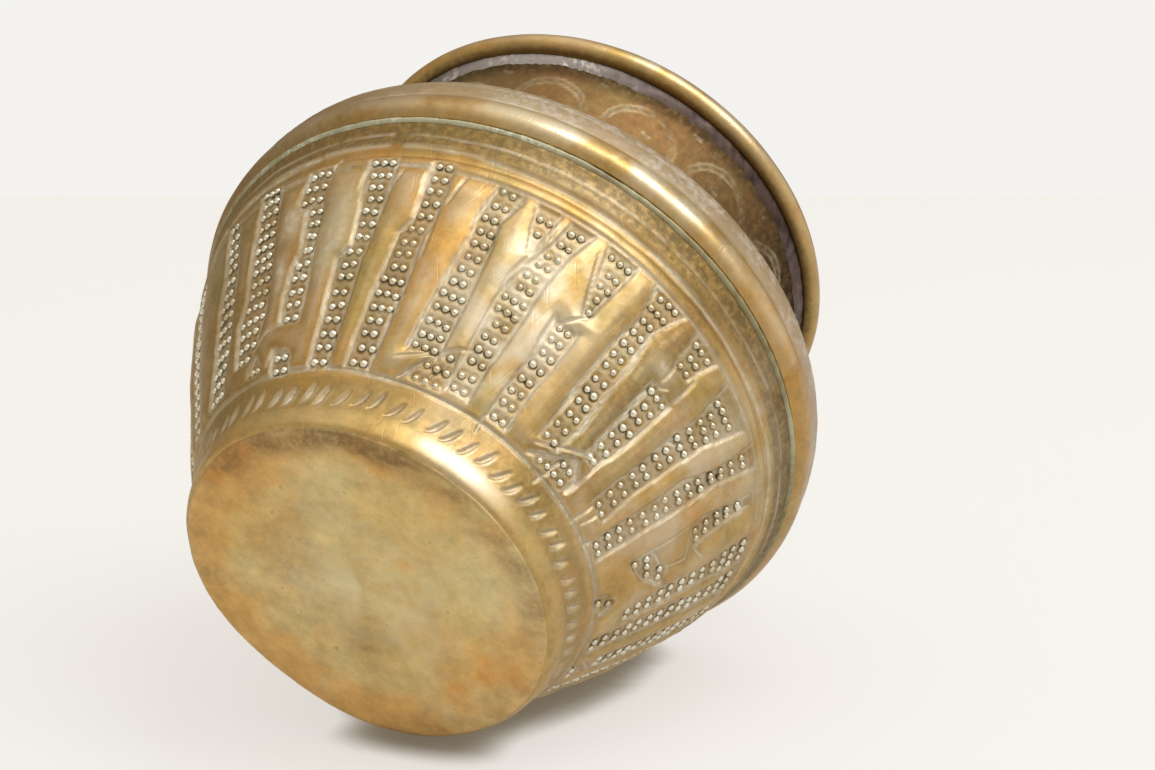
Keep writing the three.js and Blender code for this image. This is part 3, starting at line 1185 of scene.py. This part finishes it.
    def pearls(self, relief: Relief, places: Sequence[tuple]) -> bpy.types.Object:
        """Makes the punched pearls: low domes whose skirts run into the sunk floor."""
        profile = np.array([(0.30, 0.43), (0.62, 0.34), (0.86, 0.17), (1.0, 0.0), (1.22, -0.14)])
        around = 10
        angles = np.arange(around) / around * 2.0 * math.pi
        normals = face_normals(relief.outline)
        points, quads, tris, proud = [], [], [], []
        for turn, height, size in places:
            angle = math.radians(turn)
            row = int(np.argmin(np.abs(relief.outline[:, 1] - height)))
            radial = np.array([math.cos(angle), math.sin(angle), 0.0])
            tangent = np.array([-math.sin(angle), math.cos(angle), 0.0])
            out = normals[row, 0] * radial + np.array([0.0, 0.0, normals[row, 1]])
            upward = np.cross(out, tangent)
            seat = relief.outline[row, 0] * radial + np.array([0.0, 0.0, relief.outline[row, 1]])
            seat = seat - out * self.floor
            start = len(points)
            points.append(seat + out * 0.47 * size)
            proud.append(1.0)
            for reach, lift in profile:
                for a in angles:
                    offset = self.pearl_radius * size * reach * (math.cos(a) * tangent + math.sin(a) * upward)
                    points.append(seat + offset + out * lift * size)
                    proud.append(1.0 if reach < 0.9 else 0.0)
            for a in range(around):
                b = (a + 1) % around
                tris.append((start, start + 1 + b, start + 1 + a))
                for ring in range(len(profile) - 1):
                    inner = start + 1 + ring * around
                    outer = inner + around
                    quads.append((inner + a, inner + b, outer + b, outer + a))
        proud_values = np.array(proud)
        marks = {"sunk": 1.0 - proud_values, "line": np.zeros(len(points)), "proud": proud_values}
        return make_piece("punched_pearls", np.array(points), [np.array(quads), np.array(tris)], marks)

    def build(self, shop: Workshop) -> None:
        """Builds the wall and its pearls."""
        hand = random.Random(11)
        outline, worked = self.outline()
        relief = Relief(outline[:worked], self.columns)
        panels = list(FACING_PANELS) + invented_panels(hand)
        self.raise_field(relief, panels)
        self.chase(relief, panels, hand)
        self.ring_lines(relief, hand)
        self.gouge(relief, hand)
        places = self.pearl_places(relief, panels, hand)
        self.ring_pearls(relief, places)
        rest = np.zeros((len(outline) - worked, self.columns))
        rise = np.vstack([relief.rise(), rest])
        points = sweep(outline, rise, self.columns)
        hammer = SoftNoise(3, 9, 7.0).at(points)
        points = sweep(outline, rise + 0.09 * hammer, self.columns)
        faces = grid_faces(len(outline), self.columns, True)
        marks = relief.marks_over(rest, {"sunk": 0.4})
        wall = make_piece("chased_wall", points.reshape(-1, 3), [faces], marks)
        shop.dress(wall, WALL_BRASS, "wall_brass", "body_wall")
        pearls = self.pearls(relief, places)
        shop.dress(pearls, PEARL_BRASS, "wall_brass")


# ---------------------------------------------------------------- the plainer pieces


@dataclass
class BasePlate:
    """The flat plate that the cup stands on, its worn edge, and the braze inside."""

    span: Span
    braze: Span
    columns: int = 300
    flat_radius: float = 29.4
    dents: tuple[tuple[float, float, float, float], ...] = (
        (224.0, 17.0, 1.3, 0.25),
        (3.0, 4.4, 1.0, 0.12),
        (335.0, 22.6, 1.6, 0.16),
    )

    def press(self, x: np.ndarray, y: np.ndarray, waves: np.ndarray) -> np.ndarray:
        """Returns how far the underside is pressed in: dished, uneven and dented."""
        press = 0.16 * smoothstep(29.0, 20.0, np.hypot(x, y)) + 0.05 * waves
        for turn, radius, size, depth in self.dents:
            across = x - radius * math.cos(math.radians(turn))
            along = y - radius * math.sin(math.radians(turn))
            press += depth * np.exp(-((across**2 + along**2) / size**2))
        return press

    def patina(self, rings: np.ndarray, crust: np.ndarray) -> dict[str, np.ndarray]:
        """Returns the marks of the plate: orange and crusty at its edge, pale and browned within."""
        x, y = rings[..., 0], rings[..., 1]
        radius, turns = np.hypot(x, y), np.degrees(np.arctan2(y, x))

        def round_about(turn: float, width: float) -> np.ndarray:
            """Returns a stretch of the plate that fades away from one turn."""
            return bell(turn_gap(turns, turn), 0.0, width)

        patchy = 0.5 + 0.5 * SoftNoise(23, 9, 5.0).at(rings)
        crusty = smoothstep(29.2, 30.4, radius) * (0.5 + 0.5 * np.clip(crust, 0.0, 1.0))
        crusty = crusty * (0.3 + 0.7 * round_about(25.0, 55.0))
        orange = round_about(148.0, 36.0) + 0.8 * round_about(245.0, 42.0) + 0.6 * round_about(340.0, 35.0)
        warm = bell(radius, 26.5, 4.5) * (0.35 + 1.5 * orange) * (0.55 + 0.6 * patchy)
        warm_spot = 0.6 * bell(np.hypot(x - 2.2, y - 10.0), 0.0, 1.6)
        pale = 0.65 * bell(np.hypot(x + 1.0, (y - 3.0) * 1.1), 0.0, 14.0) * (0.35 + 0.65 * patchy)
        browned = 0.6 * bell(np.hypot(x - 12.0, y + 8.0), 0.0, 9.0)
        browned = browned + 0.55 * bell(np.hypot(x + 9.0, y + 6.0), 0.0, 6.0) * patchy
        browned_edge = smoothstep(24.0, 29.0, radius) * (0.6 * round_about(25.0, 50.0) + 0.4)
        browned = np.maximum(browned, browned_edge * (0.55 + 0.6 * patchy))
        marks = {
            "sunk": np.maximum(crusty, 0.8 * browned * (0.4 + patchy)),
            "line": 0.2 * crusty,
            "proud": pale,
            "warm": warm + warm_spot,
        }
        return {name: np.clip(values, 0.0, 1.0) for name, values in marks.items()}

    def build(self, shop: Workshop) -> None:
        """Builds the plate and the braze."""
        top = self.span.high
        under = [(0.35 + 0.62 * k, 0.0) for k in range(47)]
        edge = smooth_run(
            [(29.3, 0.0), (29.9, 0.06), (30.35, 0.28), (30.5, 0.7), (30.4, 1.2), (29.9, top)], 0.2
        )
        inside = [(27.0 - 2.6 * k, top) for k in range(11)]
        outline = np.vstack([under, edge, inside])
        flat = np.zeros((len(outline), self.columns))
        rings = sweep(outline, flat, self.columns)
        x, y = rings[..., 0], rings[..., 1]
        radius = np.hypot(x, y)
        waves = SoftNoise(21, 8, 9.0).at(rings)
        crust = SoftNoise(22, 12, 1.6).at(rings)
        low_face = rings[..., 2] < 0.6 * top
        pressed = self.press(x, y, waves) * smoothstep(self.flat_radius, 27.5, radius)
        rings[..., 2] += np.where(low_face, pressed, 0.0)
        rings[..., 2] += 0.07 * crust * smoothstep(28.8, 30.6, radius)
        points = rings.reshape(-1, 3)
        poles = np.array([[0.0, 0.0, float(rings[0, :, 2].mean())], [0.0, 0.0, top]])
        first, last = len(points), len(points) + 1
        a = np.arange(self.columns)
        b = (a + 1) % self.columns
        lowest_fan = np.stack([np.full_like(a, first), b, a], axis=-1)
        offset = (len(outline) - 1) * self.columns
        highest_fan = np.stack([np.full_like(a, last), offset + a, offset + b], axis=-1)
        at_poles = {"proud": 0.5}
        marks = {
            name: np.concatenate([values.ravel(), np.full(2, at_poles.get(name, 0.0))])
            for name, values in self.patina(rings, crust).items()
        }
        faces = [grid_faces(len(outline), self.columns, False), lowest_fan, highest_fan]
        plate = make_piece("base_disc", np.vstack([points, poles]), faces, marks)
        shop.dress(plate, BASE_BRASS, "base_brass", "base_plate")
        low, high = self.braze.low, self.braze.high
        fillet = np.vstack([
            smooth_run([(26.5, low), (29.1, low)], 0.8),
            smooth_run([(29.9, high), (28.1, low + 1.2), (26.8, low + 0.25)], 0.5),
        ])
        piece = turned_piece("base_fillet", fillet, 240, 0.22, 1.9, 31)
        shop.dress(piece, BRAZE, "braze_metal", "base_braze")


def turns_round(columns: int) -> np.ndarray:
    """Returns the turn of each column, as one row."""
    return np.arange(columns)[None, :] * 360.0 / columns


def turned_piece(
    name: str,
    outline: np.ndarray,
    columns: int,
    lump: float,
    finest: float,
    seed: int,
    pale: Sequence[tuple[float, float]] = (),
) -> bpy.types.Object:
    """Makes a closed turned piece with a lumpy surface.

    Args:
        name: the piece's name.
        outline: its closed section, outer face first.
        columns: steps round the axis.
        lump: height of the lumps.
        finest: length of the smallest lump.
        seed: seed of the lumps.
        pale: the middle and width of each stretch that keeps pale residue.

    Returns:
        The new object.
    """
    flat = np.zeros((len(outline), columns))
    noise = SoftNoise(seed, 10, finest).at(sweep(outline, flat, columns))
    rings = sweep(outline, lump * noise, columns)
    line = np.zeros(rings.shape[:2])
    turns = turns_round(columns)
    for turn, width in pale:
        line = line + bell(turn_gap(turns, turn), 0.0, width)
    marks = {"sunk": -0.6 * noise, "line": line, "proud": 0.2 * noise}
    clipped = {key: np.clip(values, 0.0, 1.0) for key, values in marks.items()}
    return make_piece(name, rings.reshape(-1, 3), [grid_faces(len(outline), columns, True)], clipped)


@dataclass
class Shoulder:
    """The hollow ring over the shoulder joint, its greened seam and the solder inside."""

    ring: Span
    seam: Span
    fillet: Span
    columns: int = 480
    sheet: float = 1.0

    def outline(self) -> np.ndarray:
        """Returns the outer face of the bead, from the seam up to the neck."""
        low, high, widest = self.ring.low, self.ring.high, self.ring.radius
        flank = [(53.35, low + 0.1), (54.2, 52.9), (54.8, 53.9), (widest, 55.1), (54.97, 56.2), (54.82, 57.2)]
        crown = [(54.8, 58.3), (54.7, 59.8), (54.25, 61.8), (53.0, 63.8), (50.9, 65.1)]
        inward = [(48.6, high + 0.3), (47.3, high + 0.1), (46.5, high - 0.6)]
        return smooth_run(flank + crown + inward, 0.3)

    def score(self, relief: Relief) -> None:
        """Scores the faint broken lines round the bead."""
        hand = random.Random(17)
        for base, width, depth in ((56.8, 0.2, 0.08), (60.6, 0.14, 0.08)):
            turn = 0.0
            while turn < 358.0:
                length = hand.uniform(20.0, 60.0)
                path = [
                    (float(t), base + 0.12 * math.sin(math.radians(3 * t)) + hand.uniform(-0.03, 0.03))
                    for t in np.linspace(turn, min(turn + length, 359.0), 6)
                ]
                relief.carve(path, width, depth, 0.2, 0.5)
                turn += length + hand.uniform(-1.0, 8.0)

    def build_bead(self, shop: Workshop) -> None:
        """Builds the hollow bead, frosted above, worn bright round its widest line with a painted highlight
        on the lit side, and with painted shade on its top left.
        """
        outer = self.outline()
        inner = outer - self.sheet * face_normals(outer)
        outline = np.vstack([outer, inner[::-3]])
        relief = Relief(outer, self.columns)
        self.score(relief)
        heights = outer[:, 1:]
        frosted = smoothstep(56.8, 57.3, heights) * np.ones_like(relief.form)
        rest = np.zeros((len(inner[::-3]), self.columns))
        rise = np.vstack([relief.rise(), rest])
        plain = sweep(outline, rise, self.columns)
        pitted = SoftNoise(18, 14, 1.1).at(plain)
        frost = np.vstack([frosted, rest])
        uneven = 0.05 * SoftNoise(19, 8, 11.0).at(plain) + 0.035 * pitted * frost
        rings = sweep(outline, rise + uneven, self.columns)
        marks = relief.marks_over(rest, {})
        marks["sunk"] = np.maximum(marks["sunk"], frost * (0.28 + 0.25 * np.clip(-pitted, 0.0, 1.0)))
        turns = turns_round(self.columns)
        # Painted shade: the pale frost is thinned on the top left of the bead, the side turned from the
        # light.
        worn = 1.0 - 0.85 * bell(turn_gap(turns, -8.0), 0.0, 34.0)
        marks["line"] = np.maximum(marks["line"], frost * worn * (0.95 + 0.3 * np.clip(pitted, 0.0, 1.0)))
        # Painted highlight: a pale band round the widest line, strongest round turn 58 where the light's
        # reflection falls, and weaker wear elsewhere.
        polish_and_highlight = 0.95 * bell(np.vstack([heights, heights[0] + rest[:, :1]]), 54.9, 2.2)
        painted_highlight_side = 0.3 + 0.7 * bell(turn_gap(turns, 58.0), 0.0, 26.0)
        marks["proud"] = np.maximum(marks["proud"], polish_and_highlight * painted_highlight_side)
        # Painted shade: the top left of the bead darkens toward the grime tone.
        marks["sunk"] = np.maximum(marks["sunk"], 0.75 * bell(turn_gap(turns, -12.0), 0.0, 30.0))
        orange = bell(turn_gap(turns, -5.0), 0.0, 30.0) + bell(turn_gap(turns, 105.0), 0.0, 25.0)
        marks["warm"] = np.broadcast_to(np.clip(orange, 0.0, 1.0), rise.shape)
        faces = [grid_faces(len(outline), self.columns, True)]
        bead = make_piece("shoulder_bead", rings.reshape(-1, 3), faces, marks)
        shop.dress(bead, BRIGHT_BRASS, "polished_brass", "shoulder_ring")

    def build_seam(self, shop: Workshop) -> None:
        """Builds the thread of greened solder under the bead."""
        foot = self.seam.low
        face = [(52.9, foot - 0.4), (53.3, foot - 0.25), (53.6, foot + 0.05), (53.6, foot + 0.35)]
        face.append((53.35, foot + 0.65))
        section = np.vstack([smooth_run(face, 0.15), [(52.8, foot + 0.75), (52.6, foot + 0.4)]])
        pale = ((18.0, 44.0), (113.0, 9.0), (230.0, 60.0))
        seam = turned_piece("seam_line", section, 600, 0.05, 1.3, 41, pale)
        shop.dress(seam, GREEN_SOLDER, "greened_solder", "ring_seam")

    def build_fillet(self, shop: Workshop) -> None:
        """Builds the solder inside the shoulder."""
        top = self.fillet.high
        section = np.vstack([
            smooth_run([(50.6, top - 4.0), (50.6, top - 0.6)], 0.7),
            smooth_run([(47.7, top), (49.2, top - 0.9), (50.0, top - 3.4)], 0.6),
        ])
        fillet = turned_piece("shoulder_fillet", section, 300, 0.15, 2.4, 43)
        shop.dress(fillet, GREY_SOLDER, "grey_solder", "shoulder_solder")

    def build(self, shop: Workshop) -> None:
        """Builds the three pieces."""
        self.build_bead(shop)
        self.build_seam(shop)
        self.build_fillet(shop)


@dataclass
class FlaredNeck:
    """The neck with its punched scallops, the solder under the rim, the rolled rim and its wire."""

    neck: Span
    rim: Span
    columns: int = 840
    sheet: float = 1.2
    scallops: int = 14
    first_scallop: float = 1.3
    scallop_height: float = 83.4
    scallop_reach: Stop = (10.2, 5.8)
    rim_columns: int = 480
    roll: float = 1.9
    roll_face: float = 2.1
    roll_inside: float = 1.2
    slot_middle: float = -128.0
    slot_half: float = 29.0

    def roll_centre(self) -> np.ndarray:
        """Returns the middle of the rolled rim's section."""
        return np.array([self.rim.radius - self.roll, self.rim.high - self.roll])

    def punch(self, relief: Relief, hand: random.Random) -> None:
        """Punches a row of arches of short dashes, with a dot between each two."""
        pitch = 360.0 / self.scallops
        wide, tall = self.scallop_reach
        for index in range(self.scallops):
            turn = self.first_scallop + index * pitch
            arch = [
                (turn + wide * math.cos(angle), self.scallop_height + tall * math.sin(angle))
                for angle in (math.radians(step) for step in range(0, 181, 10))
            ]
            faint = [(t + hand.uniform(-0.25, 0.25), h + hand.uniform(-0.1, 0.1)) for t, h in arch]
            relief.carve(faint, 0.30, 0.02, 0.1, 0.28)
            for dash in zip(arch[::2], arch[1::2]):
                relief.carve(dash, 0.34, hand.uniform(0.04, 0.08), 0.5, hand.uniform(0.6, 1.0))
            for dot_turn, dot_height in ((turn + 0.5 * pitch, 90.5), (turn + hand.uniform(-2, 3), 85.2)):
                dot = ((dot_turn - 0.1, dot_height - 0.3), (dot_turn + 0.1, dot_height + 0.3))
                relief.carve(dot, 0.42, 0.14, 0.5, 1.0)

    def patina(self, relief: Relief) -> None:
        """Marks the shaded side, the painted shade under the rim, the orange side and the pale flare above
        the shoulder.
        """
        heights = relief.outline[:, 1:] * np.ones((1, self.columns))
        turns = relief.turns[None, :]
        # Painted shade: the side turned from the light round turn 118, and the band just under the rolled
        # rim, darken toward the grime tone.
        shaded = bell(turn_gap(turns, 118.0), 0.0, 42.0) * smoothstep(66.0, 74.0, heights)
        painted_shade_under_rim = 0.8 * smoothstep(88.5, 92.0, heights)
        relief.sunk = np.maximum(np.maximum(relief.sunk, painted_shade_under_rim), shaded)
        relief.warm = 0.6 * bell(turn_gap(turns, 45.0), 0.0, 30.0) * np.ones_like(heights)
        relief.line = np.maximum(relief.line, 0.6 * smoothstep(67.5, 65.0, heights))

    def build_neck(self, shop: Workshop) -> None:
        """Builds the flared neck, from the shoulder up into the roll."""
        centre = self.roll_centre()
        foot = (self.neck.radius - 0.2, 62.55)
        flare = [foot, (48.9, 63.5), (46.2, 64.9), (43.2, 66.7), (40.6, 68.8), (38.3, 72.2)]
        throat = [(37.4, 77.0), (37.7, 81.6), (38.7, 86.0), (40.2, 90.0), (centre[0] - 0.1, centre[1] - 1.5)]
        outer = smooth_run(flare + throat, 0.36)
        inner = (outer - self.sheet * face_normals(outer))[::-4]
        outline = np.vstack([outer, inner])
        relief = Relief(outer, self.columns)
        self.punch(relief, random.Random(29))
        self.patina(relief)
        rest = np.zeros((len(inner), self.columns))
        rise = np.vstack([relief.rise(), rest])
        plain = sweep(outline, rise, self.columns)
        rings = sweep(outline, rise + 0.07 * SoftNoise(27, 9, 7.0).at(plain), self.columns)
        faces = [grid_faces(len(outline), self.columns, True)]
        neck = make_piece("flared_neck", rings.reshape(-1, 3), faces, relief.marks_over(rest, {"sunk": 0.35}))
        shop.dress(neck, NECK_BRASS, "dark_brass", "neck_collar")

    def build_solder(self, shop: Workshop) -> None:
        """Builds the lumpy solder line under the rim."""
        x, y = self.roll_centre()
        face = [(x - 1.7, y - 4.1), (x - 1.2, y - 3.65), (x - 0.6, y - 2.9), (x - 0.2, y - 1.95)]
        behind = [(x - 0.7, y - 1.9), (x - 1.9, y - 4.1)]
        section = np.vstack([smooth_run(face, 0.25), smooth_run(behind, 0.6)])
        pale = ((18.0, 30.0), (200.0, 60.0))
        line = turned_piece("rim_solder_line", section, 640, 0.08, 1.7, 47, pale)
        shop.dress(line, GREY_SOLDER, "grey_solder", "rim_solder")

    def build_rim(self, shop: Workshop) -> None:
        """Builds the rolled rim, open where the neck's edge stands in it."""
        centre, count = self.roll_centre(), self.rim_columns
        slot, half = math.radians(self.slot_middle), math.radians(self.slot_half)
        angles = np.linspace(slot + half, slot - half + 2.0 * math.pi, 26)
        back = angles[::-3]
        face_centre = centre + np.array([0.08, 0.0])
        outside = face_centre + self.roll_face * np.column_stack([np.cos(angles), np.sin(angles)])
        inside = centre + self.roll_inside * np.column_stack([np.cos(back), np.sin(back)])
        section = np.vstack([outside, inside])
        flat = sweep(section, np.zeros((len(section), count)), count)
        rings = sweep(section, 0.05 * SoftNoise(51, 8, 13.0).at(flat), count)
        facing = np.degrees(np.concatenate([angles, back]))[:, None] * np.ones((1, count))
        turns = turns_round(count)
        # Painted highlight on the upper outer face round turn 58, where the light's reflection falls; painted
        # shade on the underside of the roll.
        painted_highlight_side = 0.25 + 0.7 * bell(turn_gap(turns, 58.0), 0.0, 24.0)
        marks = {
            "sunk": 0.9 * smoothstep(-38.0, -70.0, facing),
            "line": np.zeros(facing.shape),
            "proud": bell(facing, 20.0, 55.0) * painted_highlight_side,
            "warm": 0.75 * bell(turn_gap(turns, 10.0), 0.0, 28.0) * np.ones(facing.shape),
        }
        rim = make_piece("rolled_rim", rings.reshape(-1, 3), [grid_faces(len(section), count, True)], marks)
        shop.dress(rim, BRIGHT_BRASS, "polished_brass", "rim_ring")

    def dress_wire(self, shop: Workshop) -> None:
        """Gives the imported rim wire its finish, in place."""
        wire = bpy.data.objects["rim_wire"]
        wire.data.materials.clear()
        wire.data.materials.append(WIRE_BRASS.material(shop.effects))

    def build(self, shop: Workshop) -> None:
        """Builds the neck, solder and rim, and dresses the wire."""
        self.build_neck(shop)
        self.build_solder(shop)
        self.build_rim(shop)
        self.dress_wire(shop)


# ---------------------------------------------------------------- studio


@dataclass(frozen=True)
class Studio:
    """The pale table that the cup lies on, the light round it and the camera.

    The cup keeps its upright frame, so the table is a plane that touches the foot and the shoulder.
    """

    lie_turn: float = 202.0
    lie_angle: float = 22.4
    table_drop: float = 30.8
    eye: Colour = (160.37, 259.53, -264.70)
    aim: Colour = (-1.85, 18.30, 50.0)
    lens: float = 81.04
    light_distance: float = 1.2
    table_near: float = 260.0
    table_far: float = 537.0
    table_side: float = 700.0

    def up(self) -> Vector:
        """Returns the table's upward normal."""
        lean, turn = math.radians(self.lie_angle), math.radians(self.lie_turn)
        return Vector((-math.cos(lean) * math.cos(turn), -math.cos(lean) * math.sin(turn), math.sin(lean)))

    def axes(self) -> Matrix:
        """Returns the camera's right, up and back directions as a rotation."""
        back = (Vector(self.eye) - Vector(self.aim)).normalized()
        right = self.up().cross(back).normalized()
        return Matrix((right, back.cross(right), back)).transposed()

    def camera(self) -> None:
        """Sets up the camera, level with the table."""
        data = bpy.data.cameras.new("camera")
        data.lens = self.lens
        data.sensor_width = 36.0
        data.clip_start = 0.01
        camera = bpy.data.objects.new("camera", data)
        camera.matrix_world = Matrix.Translation(Vector(self.eye) * MM) @ self.axes().to_4x4()
        bpy.context.scene.collection.objects.link(camera)
        bpy.context.scene.camera = camera

    def table(self) -> None:
        """Lays the pale table top, which is seen from above only."""
        up = self.up()
        right = self.axes().col[0]
        away = up.cross(right)
        middle = up * -self.table_drop
        near, far, side = self.table_near, self.table_far, self.table_side
        outline = ((-side, -near), (side, -near), (side, far), (-side, far))
        corners = [middle + right * across + away * along for across, along in outline]
        mesh = bpy.data.meshes.new("table_top")
        mesh.from_pydata([corner * MM for corner in corners], [], [(0, 1, 2, 3)])
        table = bpy.data.objects.new("table_top", mesh)
        bpy.context.scene.collection.objects.link(table)
        mesh.materials.append(self.table_material(away))

    def table_material(self, away: Vector) -> bpy.types.Material:
        """Returns the table's finish: lit from above, glowing a little, with a painted contact shadow that
        darkens the glow where the cup touches it.
        """
        material = bpy.data.materials.new("pale_table")
        material.use_nodes = True
        material.node_tree.nodes.clear()
        book = NodeBook(material.node_tree)
        cloud = book.noise(book.place((1.0, 1.0, 1.0)), 9.0, 2.0)
        tone = book.mix(cloud, (0.80, 0.81, 0.825), (0.825, 0.835, 0.85))
        finish = {"Base Color": tone, "Roughness": 0.55, "Specular IOR Level": 0.25}
        lit = book.put("ShaderNodeBsdfPrincipled", finish)
        seen_directly = book.put("ShaderNodeLightPath").outputs["Is Camera Ray"]
        geometry = book.put("ShaderNodeNewGeometry").outputs
        reach = book.spread(book.along(geometry["Position"], away), -0.10, 0.06)
        open_glow = book.mix(reach, (0.925, 0.905, 0.885), (0.93, 0.89, 0.84))
        # Painted contact shadow: the glow darkens to a brown tone where the cup comes within 7 mm.
        clearance = book.put("ShaderNodeAmbientOcclusion", {"Distance": 0.007}).outputs["AO"]
        glow_with_painted_contact_shadow = book.mix(book.spread(clearance, 0.3, 0.9), (0.20, 0.16, 0.11), open_glow)
        glow_power = book.scaled(seen_directly, 0.4, 0.66)
        glow = book.put("ShaderNodeEmission", {"Color": glow_with_painted_contact_shadow, "Strength": glow_power})
        top = book.put("ShaderNodeMixShader", {0: 0.66, 1: lit.outputs[0], 2: glow.outputs[0]})
        clear = book.put("ShaderNodeBsdfTransparent")
        sides = {0: geometry["Backfacing"], 1: top.outputs[0], 2: clear.outputs[0]}
        one_sided = book.put("ShaderNodeMixShader", sides)
        book.put("ShaderNodeOutputMaterial", {"Surface": one_sided.outputs[0]})
        return material

    def softbox(
        self, name: str, toward: Vector, size: tuple[float, float], power: float, tint: Colour
    ) -> None:
        """Hangs a rectangular light in a direction from the cup, turned to face it."""
        data = bpy.data.lights.new(name, "AREA")
        data.shape = "RECTANGLE"
        data.size, data.size_y = size
        data.energy = power
        data.color = tint
        lamp = bpy.data.objects.new(name, data)
        away = toward.normalized()
        aim = Vector((0.0, 0.0, 0.045))
        lamp.location = aim + away * self.light_distance
        lamp.rotation_euler = away.to_track_quat("Z", "Y").to_euler()
        bpy.context.scene.collection.objects.link(lamp)

    def light(self) -> None:
        """Lights the scene: two softboxes over the right shoulder, and a room drawn as a sky."""
        rotation = self.axes()
        right, up = rotation.col[0], self.up()
        level = right.cross(up).normalized()
        above = right * 0.49 + up * 0.83 + level * 0.2
        forward = right * 0.62 + up * 0.58 + level * 0.55
        self.softbox("top_softbox", above, (1.15, 0.6), 6.4, (1.0, 0.985, 0.965))
        self.softbox("front_softbox", forward, (0.6, 0.6), 0.7, (1.0, 0.985, 0.97))
        bpy.context.scene.view_settings.view_transform = "Standard"
        self.room(right, up, level)

    def room(self, right: Vector, up: Vector, level: Vector) -> None:
        """Draws the room as a sky: a dim backdrop, and paler in front, at the right and overhead."""
        world = bpy.data.worlds.new("studio")
        bpy.context.scene.world = world
        world.use_nodes = True
        world.node_tree.nodes.clear()
        book = NodeBook(world.node_tree)
        heading = book.put("ShaderNodeTexCoord").outputs["Generated"]
        high, front, side = (book.along(heading, way) for way in (up, level, right))
        low = book.sum("SUBTRACT", 1.0, book.spread(high, 0.15, 0.5))
        behind = book.sum("SUBTRACT", 1.0, book.spread(front, -0.65, -0.15))
        backdrop = book.mix(book.sum("MULTIPLY", behind, low), (0.55, 0.515, 0.45), (0.32, 0.26, 0.18))
        fronted = book.mix(book.spread(front, 0.1, 0.85), backdrop, (0.60, 0.57, 0.52))
        beside = book.sum("MULTIPLY", book.spread(side, 0.55, 0.95), low)
        sided = book.mix(beside, fronted, (0.92, 0.88, 0.82))
        lit = book.mix(book.spread(high, 0.6, 0.95), sided, (1.0, 0.985, 0.96))
        seen_directly = book.put("ShaderNodeLightPath").outputs["Is Camera Ray"]
        shown = book.mix(seen_directly, lit, (0.905, 0.89, 0.865))
        sky = book.put("ShaderNodeBackground", {"Color": shown, "Strength": 1.0})
        book.put("ShaderNodeOutputWorld", {"Surface": sky.outputs[0]})


def main() -> None:
    """Loads the frame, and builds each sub-assembly in order."""
    logging.basicConfig(level=logging.INFO, format="%(name)s: %(message)s")
    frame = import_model()
    LOG.info("frame with %d nodes", len(frame["nodes"]))
    studio = Studio()
    studio.camera()
    studio.table()
    studio.light()
    shop = Workshop(Effects())
    BasePlate(Span.of("base_plate"), Span.of("base_braze")).build(shop)
    ChasedWall(Span.of("body_wall")).build(shop)
    Shoulder(Span.of("shoulder_ring"), Span.of("ring_seam"), Span.of("shoulder_solder")).build(shop)
    FlaredNeck(Span.of("neck_collar"), Span.of("rim_ring")).build(shop)
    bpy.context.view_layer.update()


if __name__ == "__main__":
    main()
